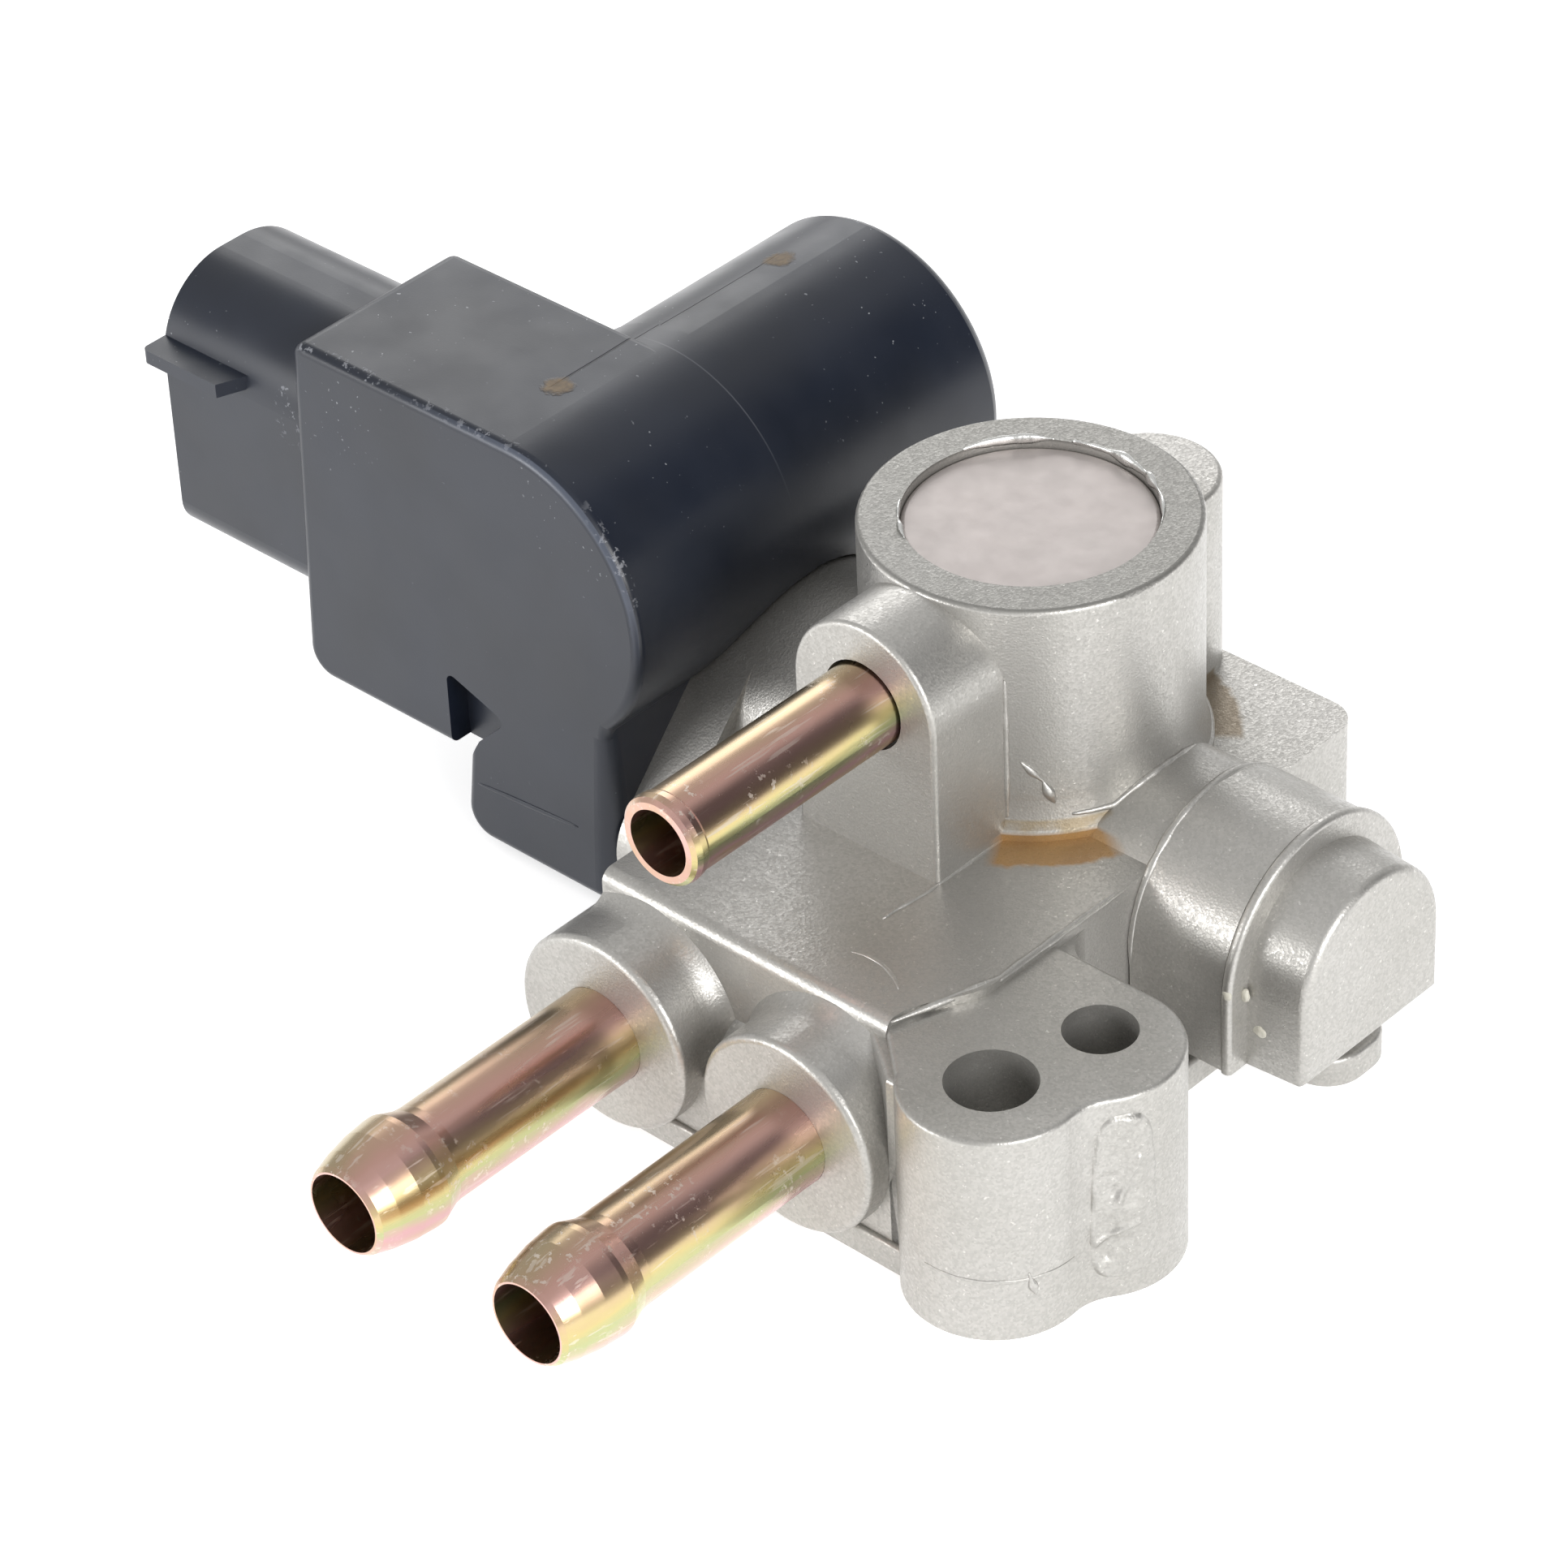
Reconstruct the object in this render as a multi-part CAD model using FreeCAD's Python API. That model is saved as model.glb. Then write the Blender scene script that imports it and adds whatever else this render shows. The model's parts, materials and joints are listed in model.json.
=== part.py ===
import FreeCAD, Part
import math
import os

# Idle air control valve of a car engine, in millimetres.
# The origin is the axis of the large bolt hole, on the mounting face, and +Z is up from that face.
# +X runs along the valve shaft towards the closed D-shaped end of the barrel. The hose pipes point to -Y.

os.makedirs("parts", exist_ok=True)

V = FreeCAD.Vector
X_DIR = V(1, 0, 0)
Y_DIR = V(0, 1, 0)
Z_DIR = V(0, 0, 1)

# Fits
press_clearance = 0.02
running_clearance = 0.03
cover_clearance = 0.3
moulding_clearance = 0.05

# Front lug with the two bolt holes
main_hole_radius = 4.25
small_hole_radius = 3.45
small_hole_x = 2.7
small_hole_y = 11.4
front_lobe_radius = 8.5
second_lobe_radius = 8.3
second_lobe_x = 3.2
second_lobe_y = 9.8
lug_height = 22.4
lug_waist_fillet = 5.5
lug_back_fillet = 3.8

# Block
block_height = 23.2
block_left_x = -46.0
block_right_x = -8.0
block_front_y = -0.8
block_back_y = 61.7
block_corner_setback_x = 3.5
block_corner_setback_y = 11.3
block_front_fillet = 1.3
block_edge_fillet = 0.5
block_back_corner = 3.2

# Base flange
flange_thickness = 3.0
flange_front_y = -5.4
flange_right_x = -3.4
foot_right_x = 7.4
foot_width = 9.8
foot_centre_y = 43.4
foot_corner = 4.0

# Valve barrel, along X
barrel_y = 40.2
barrel_z = 15.7
saddle_radius = 11.6
barrel_radius = 12.4
barrel_step_round = 0.35
barrel_flat_z = 7.6
collar_height = 0.3
collar_start_x = 2.9
collar_end_x = 4.05
d_end_radius = 9.7
d_end_draft = 0.5
d_end_x = 10.4
d_end_fillet = 0.9

# Round boss with its plug
boss_x = -29.6
boss_radius = 15.9
boss_top_z = 48.0
boss_rim_fillet = 0.5
plinth_radius = 16.7
plinth_top_z = 24.2
plinth_blend_z = 27.2
plinth_edge = 0.3
plug_radius = 11.9
plug_recess = 0.8
plug_thickness = 2.2
plug_edge_radius = 0.5
boss_well_radius = 10.4
boss_well_floor_z = 31.0
boss_throat_radius = 6.5

# Arch block and air pipe
arch_half_width = 8.4
arch_front_y = 17.1
air_pipe_z = 39.3
air_hole_radius = 4.55
air_hole_mouth_depth = 2.2
air_pipe_radius = 4.25
air_pipe_wall = 0.95
air_pipe_end_y = -9.4
air_pipe_insertion = 9.5
air_bead_radius = 4.5
air_bead_length = 2.0

# Coolant pipes and their bosses
coolant_right_x = -18.0
coolant_spacing = 22.5
coolant_z = 11.3
coolant_boss_radius = 10.1
coolant_boss_face_y = -7.5
coolant_boss_edge = 0.7
boss_flare_width = 0.9
boss_flare_length = 2.6
coolant_pipe_radius = 4.85
coolant_pipe_wall = 0.9
coolant_pipe_end_y = -40.0
coolant_pipe_insertion = 9.5
barb_radius = 5.7
barb_tip_radius = 4.5
barb_peak_from_end = 7.6
barb_length = 10.6
gallery_radius = 4.0
gallery_y = 17.0
gallery_plug_radius = 4.6
gallery_plug_length = 2.8
gallery_plug_wall = 0.8
web_front_z = 10.1
web_back_z = 14.4
web_front_y = -4.3
web_width = 6.0
corner_fill_drop = 0.9
corner_fill_reach_x = 2.0
corner_fill_front_y = -4.9

# Rear column behind the round boss
column_y = 56.6
column_radius = 7.0
column_top_z = 43.8
column_web_width = 10.0

# Rear lug with the third bolt hole
rear_lug_x = -43.0
rear_lug_y = 58.5
rear_lug_radius = 7.0

# Air outlet in the base
outlet_x = -15.5
outlet_radius = 5.0
base_ring_radius = 7.6
base_ring_section = 1.9
base_groove_width = 2.4
base_groove_depth = 2.0

# Interface between body and actuator
interface_x = -61.9
neck_radius = 13.2
ear_spread = 17.7
ear_z = 7.1
body_ear_radius = 6.0
body_ear_thickness = 6.0
neck_foot_width = 15.0
neck_foot_end_x = -56.5
neck_foot_corner = 3.0

# Actuator housing
coil_x = -72.9
coil_z = 33.3
coil_barrel_radius = 16.0
coil_barrel_rear_y = 68.2
coil_barrel_rear_fillet = 2.6
coil_barrel_blend = 3.0
coil_blend_bite = 0.15
housing_front_y = 16.2
housing_rim_round = 1.0
box_left_x = -103.3
box_left_lean = 2.0
box_rear_y = 37.8
box_bottom_z = 10.5
box_bottom_corner = 3.0
box_top_corner = 1.5
foot_left_x = -82.5
foot_left_lean = 1.3
foot_corner_round = 3.0
foot_side_round_low = 2.9
foot_side_round_high = 1.0
housing_ear_radius = 6.2
notch_left_x = -83.4
notch_right_x = -76.3
notch_top_z = 18.9
notch_depth = 2.5
notch_corner = 0.8
step_band_y = 41.0
step_band_depth = 0.12

# Connector shroud
shroud_end_x = -120.8
shroud_front_y = 16.9
shroud_width = 20.0
shroud_bottom_z = 19.2
shroud_top_z = 48.0
shroud_top_radius = 8.6
shroud_bottom_radius = 3.4
shroud_wall = 1.8
socket_depth = 15.5
lock_rib_height = 2.8
lock_rib_length = 10.4
lock_rib_slant = 1.6
lock_rib_root = 1.3
lock_rib_nose = 0.7
lock_rib_thickness = 1.5
lock_rib_drop = 7.7
blade_count = 3
blade_pitch = 5.6
blade_width = 2.8
blade_thickness = 0.8
blade_reach = 11.5
blade_middle_z = 34.3

# Driver board
board_thickness = 1.6
board_right_x = -97.0
board_front_y = 19.6
board_rear_y = 34.4
board_bottom_z = 17.5
board_top_z = 45.5

# Electromagnet
coil_front_y = 22.0
coil_rear_y = 60.6
core_radius = 4.5
bobbin_wall = 1.0
bobbin_flange_radius = 10.2
bobbin_flange_thickness = 1.6
winding_radius = 9.9
pole_plate_thickness = 2.8
pole_half_width = 6.1
pole_top_z = 39.5
pole_arm_bottom_z = 12.5
pole_arm_top_z = 18.9

# Rotor
rotor_cavity_radius = 6.6
rotor_cavity_end_x = -84.0
cavity_wall = 0.5
rotor_cap_radius = 8.8
rotor_cap_end_x = -86.0
rotor_cap_fillet = 1.5
magnet_radius = 6.0
hub_radius = 3.2
magnet_left_x = -81.6
magnet_right_x = -68.0
hub_left_x = -82.2
hub_right_x = -67.3
shaft_radius = 2.0
shaft_left_x = -83.2
shaft_right_x = 5.4
ring_left_x = -66.9
ring_thickness = 0.7
ring_groove_depth = 0.4
ring_radius = 3.6
ring_gap_degrees = 70.0

# Bearing carrier, bushes and seal
chamber_radius = 8.0
chamber_end_x = -9.0
spigot_radius = 7.3
spigot_length = 3.9
spigot_clearance = 0.1
carrier_right_x = -52.0
bush_radius = 3.6
inner_bush_right_x = -57.4
seal_radius = 4.2
seal_thickness = 3.0
seal_lip_thickness = 1.2
o_ring_section = 1.5
o_ring_groove_depth = 1.15
o_ring_groove_width = 1.9
end_bore_radius = 5.0
end_bore_end_x = 6.0
outer_bush_length = 5.5
washer_thickness = 0.4
washer_radius = 6.2
washer_hole_radius = 2.3

# Valve spool and its stop
spool_clearance = 0.08
spool_wall = 1.5
spool_left_x = -44.0
spool_web = 2.4
spool_hub_radius = 4.0
window_half_angle = 48.0
inlet_window_left_x = -37.0
inlet_window_right_x = -22.5
outlet_window_left_x = -20.0
outlet_window_right_x = -13.0
spool_pin_radius = 0.75
stop_inner_radius = 6.05
stop_length = 3.4
finger_degrees = 30.0
travel_degrees = 60.0
stop_clearance_degrees = 3.0
finger_end_gap = 0.3
spring_radius = 5.1
spring_wire = 0.7
spring_turns = 5
spring_pitch = 1.25

# Actuator screws
screw_radius = 2.5
screw_head_radius = 4.0
screw_head_height = 3.2
screw_seat_x = -72.0
screw_socket_flats = 4.0
screw_socket_depth = 2.0
screw_hole_radius = 4.4
screw_tip_x = -56.4

# Places that follow from the sizes above
coolant_left_x = coolant_right_x - coolant_spacing
coolant_xs = (coolant_left_x, coolant_right_x)
plug_top_z = boss_top_z - plug_recess
plug_seat_z = plug_top_z - plug_thickness
air_pipe_inner_y = arch_front_y + air_pipe_insertion
coolant_pipe_inner_y = coolant_boss_face_y + coolant_pipe_insertion
front_ear_y = barrel_y - ear_spread
rear_ear_y = barrel_y + ear_spread
housing_ear_left_x = foot_left_x + foot_left_lean
ear_ys = (front_ear_y, rear_ear_y)
spool_radius = chamber_radius - spool_clearance
washer_left_x = chamber_end_x - washer_thickness
spool_right_x = washer_left_x - cover_clearance
spigot_left_x = interface_x - spigot_length
box_top_z = coil_z + coil_barrel_radius
outer_bush_left_x = end_bore_end_x - outer_bush_length
pole_face_radius = rotor_cavity_radius + cavity_wall
core_front_y = coil_front_y - moulding_clearance
core_rear_y = coil_rear_y + moulding_clearance
socket_floor_x = shroud_end_x + socket_depth
lock_rib_z = shroud_top_z - lock_rib_drop
board_left_x = board_right_x - board_thickness


def cylinder(radius, start, length, direction):
    return Part.makeCylinder(radius, length, start, direction)


def x_cylinder(radius, x0, x1, y, z):
    return cylinder(radius, V(x0, y, z), x1 - x0, X_DIR)


def y_cylinder(radius, y0, y1, x, z):
    return cylinder(radius, V(x, y0, z), y1 - y0, Y_DIR)


def z_cylinder(radius, z0, z1, x, y):
    return cylinder(radius, V(x, y, z0), z1 - z0, Z_DIR)


def box(x0, x1, y0, y1, z0, z1):
    return Part.makeBox(x1 - x0, y1 - y0, z1 - z0, V(x0, y0, z0))


def fuse(first, *others):
    return first.fuse(list(others)).removeSplitter()


def cut(first, *others):
    for other in others:
        first = first.cut(other)
    return first


def prism(edges_or_points, direction):
    """Extrude a closed outline of points, or of ready edges, along a vector."""
    if isinstance(edges_or_points[0], V):
        wire = Part.makePolygon(edges_or_points + [edges_or_points[0]])
    else:
        wire = Part.Wire(edges_or_points)
    return Part.Face(wire).extrude(direction)


def edges_where(shape, test):
    """Edges whose middle point and bounding box pass a test."""
    chosen = []
    for edge in shape.Edges:
        middle = edge.valueAt((edge.FirstParameter + edge.LastParameter) / 2)
        if test(middle, edge.BoundBox):
            chosen.append(edge)
    return chosen


def near(value, target, tolerance=0.05):
    return abs(value - target) < tolerance


def revolve_y(points, x, z):
    """Turn an (radius, y) outline about the line parallel to Y through x and z."""
    outline = [V(x + radius, y, z) for radius, y in points]
    wire = Part.makePolygon(outline + [outline[0]])
    return Part.Face(wire).revolve(V(x, 0, z), Y_DIR, 360)


def revolve_x(points, y=barrel_y, z=barrel_z):
    """Turn an (x, radius) outline about the line parallel to X through y and z."""
    outline = [V(x, y, z + radius) for x, radius in points]
    wire = Part.makePolygon(outline + [outline[0]])
    return Part.Face(wire).revolve(V(0, y, z), X_DIR, 360)


def turned(edges, start, direction):
    """Turn a closed outline of lines and arcs about an axis."""
    return Part.Face(Part.Wire(edges)).revolve(start, direction, 360)


def path(*points):
    """Edges through points, where a list of two points is the middle and the end of an arc."""
    edges = []
    last = points[0]
    for point in points[1:]:
        if isinstance(point, list):
            edges.append(Part.Arc(last, point[0], point[1]).toShape())
            last = point[1]
        else:
            edges.append(Part.LineSegment(last, point).toShape())
            last = point
    return edges


def flare_points(radius, width, length):
    """Middle and end of an arc that leaves a cylinder tangentially and ends wider by a width."""
    bend = (width * width + length * length) / (2 * width)
    half = math.asin(length / bend) / 2
    return (radius + bend * (1 - math.cos(half)), bend * math.sin(half)), (radius + width, length)


def torus_x(x, section_radius, ring_radius):
    return Part.makeTorus(ring_radius, section_radius, V(x, barrel_y, barrel_z), X_DIR)


def tombstone_edges(radius, x, floor_z):
    """Outline of the barrel's section: round on top, straight sides down to a flat floor."""
    y0 = barrel_y - radius
    y1 = barrel_y + radius
    return path(
        V(x, y0, barrel_z),
        [V(x, barrel_y, barrel_z + radius), V(x, y1, barrel_z)],
        V(x, y1, floor_z),
        V(x, y0, floor_z),
        V(x, y0, barrel_z),
    )


def tombstone(radius, x0, x1, floor_z):
    return prism(tombstone_edges(radius, x0, floor_z), V(x1 - x0, 0, 0))


def sector_x(inner, outer, x0, x1, start_degrees, end_degrees):
    """A piece of a ring about the shaft. Zero degrees points up and angles turn about +X."""
    span = math.radians(end_degrees - start_degrees)
    begin = math.radians(start_degrees)

    def at(radius, angle):
        return V(x0, barrel_y - radius * math.sin(angle), barrel_z + radius * math.cos(angle))

    middle = begin + span / 2
    end = begin + span
    edges = [
        Part.Arc(at(outer, begin), at(outer, middle), at(outer, end)).toShape(),
        Part.LineSegment(at(outer, end), at(inner, end)).toShape(),
        Part.Arc(at(inner, end), at(inner, middle), at(inner, begin)).toShape(),
        Part.LineSegment(at(inner, begin), at(outer, begin)).toShape(),
    ]
    return prism(edges, V(x1 - x0, 0, 0))


def rounded_profile(y0, y1, z0, z1, lower_radius, upper_radius, x0, x1):
    """A box along X with rounded lower and upper corners in its Y-Z section."""
    solid = box(x0, x1, y0, y1, z0, z1)
    lower = edges_where(solid, lambda m, b: b.XLength > 0.5 * (x1 - x0) and near(m.z, z0))
    solid = solid.makeFillet(lower_radius, lower)
    upper = edges_where(
        solid,
        lambda m, b: b.XLength > 0.5 * (x1 - x0) and near(m.z, z1) and (near(m.y, y0) or near(m.y, y1)),
    )
    return solid.makeFillet(upper_radius, upper)


# Valve body


def body_block():
    """Block whose right side sweeps back from the front corner in a shallow S."""
    corner_x = block_right_x - block_corner_setback_x
    curve = Part.BSplineCurve()
    curve.interpolate(
        [
            V(corner_x, block_front_y, 0),
            V(corner_x + 0.17 * block_corner_setback_x, block_front_y + 0.36 * block_corner_setback_y, 0),
            V(corner_x + 0.70 * block_corner_setback_x, block_front_y + 0.64 * block_corner_setback_y, 0),
            V(block_right_x, block_front_y + block_corner_setback_y, 0),
        ]
    )
    bottom = [
        Part.LineSegment(V(block_left_x, block_front_y, 0), V(corner_x, block_front_y, 0)).toShape(),
        curve.toShape(),
        Part.LineSegment(
            V(block_right_x, block_front_y + block_corner_setback_y, 0), V(block_right_x, block_back_y, 0)
        ).toShape(),
        Part.LineSegment(V(block_right_x, block_back_y, 0), V(block_left_x, block_back_y, 0)).toShape(),
        Part.LineSegment(V(block_left_x, block_back_y, 0), V(block_left_x, block_front_y, 0)).toShape(),
    ]
    solid = prism(bottom, V(0, 0, block_height))
    corners = edges_where(
        solid, lambda m, b: b.ZLength > 0.9 * block_height and near(m.y, block_back_y)
    )
    solid = solid.makeFillet(block_back_corner, corners)
    front = edges_where(solid, lambda m, b: near(m.z, block_height) and near(m.y, block_front_y))
    return solid.makeFillet(block_front_fillet, front)


def front_lug():
    """Two overlapping lobes with their waist, tied to the block."""
    front_lobe = z_cylinder(front_lobe_radius, 0, lug_height, 0, 0)
    second_lobe = z_cylinder(second_lobe_radius, 0, lug_height, second_lobe_x, second_lobe_y)
    back_y = second_lobe_y + second_lobe_radius
    tie_x = block_right_x - block_corner_setback_x - block_edge_fillet
    tie = prism(
        [
            V(tie_x, block_front_y + block_edge_fillet, 0),
            V(-0.84 * front_lobe_radius, -0.54 * front_lobe_radius, 0),
            V(0, 0, 0),
            V(second_lobe_x, back_y, 0),
            V(tie_x, back_y, 0),
        ],
        V(0, 0, lug_height),
    )
    lug = fuse(front_lobe, second_lobe, tie)
    waist = edges_where(
        lug,
        lambda m, b: b.ZLength > 0.9 * lug_height
        and m.x > 0.6 * front_lobe_radius
        and m.y < second_lobe_y,
    )
    lug = lug.makeFillet(lug_waist_fillet, waist)
    rim = edges_where(lug, lambda m, b: near(m.z, lug_height) and b.ZLength < 0.01)
    return lug.makeFillet(block_edge_fillet, rim)


def corner_fill():
    """Metal that fills the groove between the right pipe boss and the front lug."""
    corner_x = block_right_x - block_corner_setback_x
    lobe_x = -math.sqrt(front_lobe_radius ** 2 - corner_fill_front_y ** 2)
    groove_x = coolant_right_x + coolant_boss_radius
    top_z = lug_height - corner_fill_drop
    solid = prism(
        [
            V(corner_x - corner_fill_reach_x, block_front_y, 0),
            V((corner_x + groove_x) / 2, 0.7 * corner_fill_front_y, 0),
            V(groove_x, corner_fill_front_y, 0),
            V(lobe_x, corner_fill_front_y, 0),
            V(lobe_x, 0, 0),
            V(corner_x - corner_fill_reach_x, 0, 0),
        ],
        V(0, 0, top_z),
    )
    rim = edges_where(
        solid, lambda m, b: near(m.z, top_z) and m.y < block_front_y - 0.1 and m.x < lobe_x - 0.1
    )
    return solid.makeFillet(block_edge_fillet, rim)


def lug_back_web():
    """Concave corner between the back of the lug and the block's side."""
    back_y = second_lobe_y + second_lobe_radius
    r = lug_back_fillet
    centre = V(block_right_x + r, back_y + r, 0)
    turn = math.sqrt(0.5)
    arc = Part.Arc(
        V(block_right_x, back_y + r, 0),
        centre - V(r * turn, r * turn, 0),
        V(block_right_x + r, back_y, 0),
    )
    edges = [
        arc.toShape(),
        Part.LineSegment(V(block_right_x + r, back_y, 0), V(block_right_x - 1, back_y - 1, 0)).toShape(),
        Part.LineSegment(V(block_right_x - 1, back_y - 1, 0), V(block_right_x, back_y + r, 0)).toShape(),
    ]
    return prism(edges, V(0, 0, lug_height - block_edge_fillet))


def base_flange():
    """Thin foot of the casting, wider than the block at the front and on the right."""
    plate = box(block_left_x, flange_right_x, flange_front_y, block_back_y, 0, flange_thickness)
    corners = edges_where(plate, lambda m, b: b.ZLength > 0.9 * flange_thickness and m.x > block_left_x + 1)
    plate = plate.makeFillet(block_back_corner, corners)
    foot = box(
        block_right_x,
        foot_right_x,
        foot_centre_y - foot_width / 2,
        foot_centre_y + foot_width / 2,
        0,
        flange_thickness,
    )
    corners = edges_where(foot, lambda m, b: b.ZLength > 0.9 * flange_thickness and m.x > foot_right_x - 1)
    foot = foot.makeFillet(foot_corner, corners)
    flange = fuse(plate, foot)
    top = edges_where(flange, lambda m, b: near(m.z, flange_thickness) and b.ZLength < 0.01)
    return flange.makeFillet(block_edge_fillet, top)


def valve_barrel():
    """Saddle on the block, barrel, its low collar and the D-shaped end."""
    saddle = tombstone(saddle_radius, boss_x, block_right_x + 1.0, barrel_flat_z)
    barrel = tombstone(barrel_radius, block_right_x, collar_start_x, barrel_flat_z)
    step = edges_where(
        barrel, lambda m, b: near(m.x, block_right_x) and b.XLength < 0.01 and m.z > barrel_z + 1
    )
    barrel = barrel.makeFillet(barrel_step_round, step)
    collar = tombstone(barrel_radius + collar_height, collar_start_x, collar_end_x, barrel_flat_z)
    rims = edges_where(collar, lambda m, b: b.XLength < 0.01 and m.z > barrel_z + 1)
    collar = collar.makeFillet(block_edge_fillet, rims)
    root_x = collar_end_x - block_edge_fillet
    d_end = Part.makeLoft(
        [
            Part.Wire(tombstone_edges(d_end_radius + d_end_draft, root_x, barrel_flat_z)),
            Part.Wire(tombstone_edges(d_end_radius, d_end_x, barrel_flat_z)),
        ],
        True,
        True,
    )
    face = edges_where(d_end, lambda m, b: near(m.x, d_end_x) and b.XLength < 0.01)
    d_end = d_end.makeFillet(d_end_fillet, face)
    return fuse(saddle, barrel, collar, d_end)


def round_boss():
    """Boss for the plug, with a low plinth that blends into its wall."""
    boss = z_cylinder(boss_radius, flange_thickness, boss_top_z, boss_x, barrel_y)
    rim = edges_where(boss, lambda m, b: near(m.z, boss_top_z) and b.ZLength < 0.01)
    boss = boss.makeFillet(boss_rim_fillet, rim)
    flare_width = plinth_radius - plinth_edge - boss_radius
    middle, end = flare_points(boss_radius, flare_width, plinth_blend_z - plinth_top_z)
    floor = block_height - 1.0

    def at(radius, z):
        return V(boss_x + radius, barrel_y, z)

    outline = path(
        at(0, plinth_blend_z),
        at(boss_radius, plinth_blend_z),
        [at(middle[0], plinth_blend_z - middle[1]), at(end[0], plinth_top_z)],
        at(plinth_radius, plinth_top_z - plinth_edge),
        at(plinth_radius, floor),
        at(0, floor),
        at(0, plinth_blend_z),
    )
    plinth = turned(outline, V(boss_x, barrel_y, 0), Z_DIR)
    inside = box(block_left_x, block_right_x, block_front_y, block_back_y, 0, boss_top_z)
    return fuse(boss, plinth.common(inside))


def arch_block():
    """Round-topped block that holds the air pipe."""
    x0 = boss_x - arch_half_width
    x1 = boss_x + arch_half_width
    y = arch_front_y
    floor = block_height - 2.0
    top = air_pipe_z + arch_half_width
    edges = [
        Part.LineSegment(V(x0, y, floor), V(x0, y, air_pipe_z)).toShape(),
        Part.Arc(V(x0, y, air_pipe_z), V(boss_x, y, top), V(x1, y, air_pipe_z)).toShape(),
        Part.LineSegment(V(x1, y, air_pipe_z), V(x1, y, floor)).toShape(),
        Part.LineSegment(V(x1, y, floor), V(x0, y, floor)).toShape(),
    ]
    arch = prism(edges, V(0, barrel_y - y, 0))
    front = edges_where(arch, lambda m, b: near(m.y, y) and m.z > floor + 0.5)
    return arch.makeFillet(block_edge_fillet, front)


def pipe_boss(x):
    """Round boss of a hose pipe, flared where it leaves the block."""
    boss = y_cylinder(coolant_boss_radius, coolant_boss_face_y, gallery_y, x, coolant_z)
    rim = edges_where(boss, lambda m, b: near(m.y, coolant_boss_face_y) and b.YLength < 0.01)
    boss = boss.makeFillet(coolant_boss_edge, rim)
    middle, end = flare_points(coolant_boss_radius, boss_flare_width, boss_flare_length)
    start_y = block_front_y - boss_flare_length

    def at(radius, y):
        return V(x + radius, y, coolant_z)

    outline = path(
        at(0, start_y),
        at(coolant_boss_radius, start_y),
        [at(middle[0], start_y + middle[1]), at(end[0], block_front_y)],
        at(end[0], block_front_y + 1.0),
        at(0, block_front_y + 1.0),
        at(0, start_y),
    )
    flare = turned(outline, V(x, 0, coolant_z), Y_DIR)
    inside = box(block_left_x, 0, 2 * coolant_boss_face_y, block_back_y, 0, block_height)
    return fuse(boss, flare.common(inside))


def boss_web():
    """Web between the two pipe bosses, with a top that rises to the block."""
    middle = (coolant_left_x + coolant_right_x) / 2
    side = [
        V(middle - web_width / 2, web_front_y, 0),
        V(middle - web_width / 2, web_front_y, web_front_z),
        V(middle - web_width / 2, block_front_y, web_back_z),
        V(middle - web_width / 2, block_front_y + 1, web_back_z),
        V(middle - web_width / 2, block_front_y + 1, 0),
    ]
    web = prism(side, V(web_width, 0, 0))
    front = edges_where(web, lambda m, b: near(m.y, web_front_y) and near(m.z, web_front_z))
    return web.makeFillet(block_edge_fillet, front)


def rear_column():
    column = z_cylinder(column_radius, 0, column_top_z, boss_x, column_y)
    rim = edges_where(column, lambda m, b: near(m.z, column_top_z) and b.ZLength < 0.01)
    column = column.makeFillet(block_edge_fillet, rim)
    web = box(
        boss_x - column_web_width / 2,
        boss_x + column_web_width / 2,
        barrel_y,
        column_y,
        flange_thickness,
        column_top_z - 2.0,
    )
    return fuse(column, web)


def rear_lug():
    """Lug at the rear left corner, tied to the block on two sides."""
    lug = z_cylinder(rear_lug_radius, 0, lug_height, rear_lug_x, rear_lug_y)
    rim = edges_where(lug, lambda m, b: near(m.z, lug_height) and b.ZLength < 0.01)
    return lug.makeFillet(block_edge_fillet, rim)


def ear_outline(x0, x1, ear_radius, centre_radius):
    """Flange round the shaft with one rounded ear on each side, as lines tangent to the circles."""
    solid = x_cylinder(centre_radius, x0, x1, barrel_y, barrel_z)
    for ear_y in ear_ys:
        ear = x_cylinder(ear_radius, x0, x1, ear_y, ear_z)
        along = V(0, ear_y - barrel_y, ear_z - barrel_z)
        distance = along.Length
        along.normalize()
        across = V(0, -along.z, along.y)
        lean = math.asin((centre_radius - ear_radius) / distance)
        web = []
        for side in (1, -1):
            out = along * math.sin(lean) + across * (side * math.cos(lean))
            ends = [
                V(x0, barrel_y, barrel_z) + out * centre_radius,
                V(x0, ear_y, ear_z) + out * ear_radius,
            ]
            if side < 0:
                ends.reverse()
            web += ends
        solid = fuse(solid, ear, prism(web, V(x1 - x0, 0, 0)))
    return solid


def actuator_neck():
    """Neck and eared flange that carry the actuator."""
    neck = x_cylinder(neck_radius, interface_x, block_left_x + 6.0, barrel_y, barrel_z)
    flange = ear_outline(interface_x, interface_x + body_ear_thickness, body_ear_radius, neck_radius)
    foot = box(
        neck_foot_end_x,
        block_left_x + 1,
        barrel_y - neck_foot_width / 2,
        barrel_y + neck_foot_width / 2,
        0,
        barrel_z - 0.6 * neck_radius,
    )
    corners = edges_where(foot, lambda m, b: b.ZLength > 3 and near(m.x, neck_foot_end_x))
    foot = foot.makeFillet(neck_foot_corner, corners)
    return fuse(neck, flange, foot)


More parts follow.
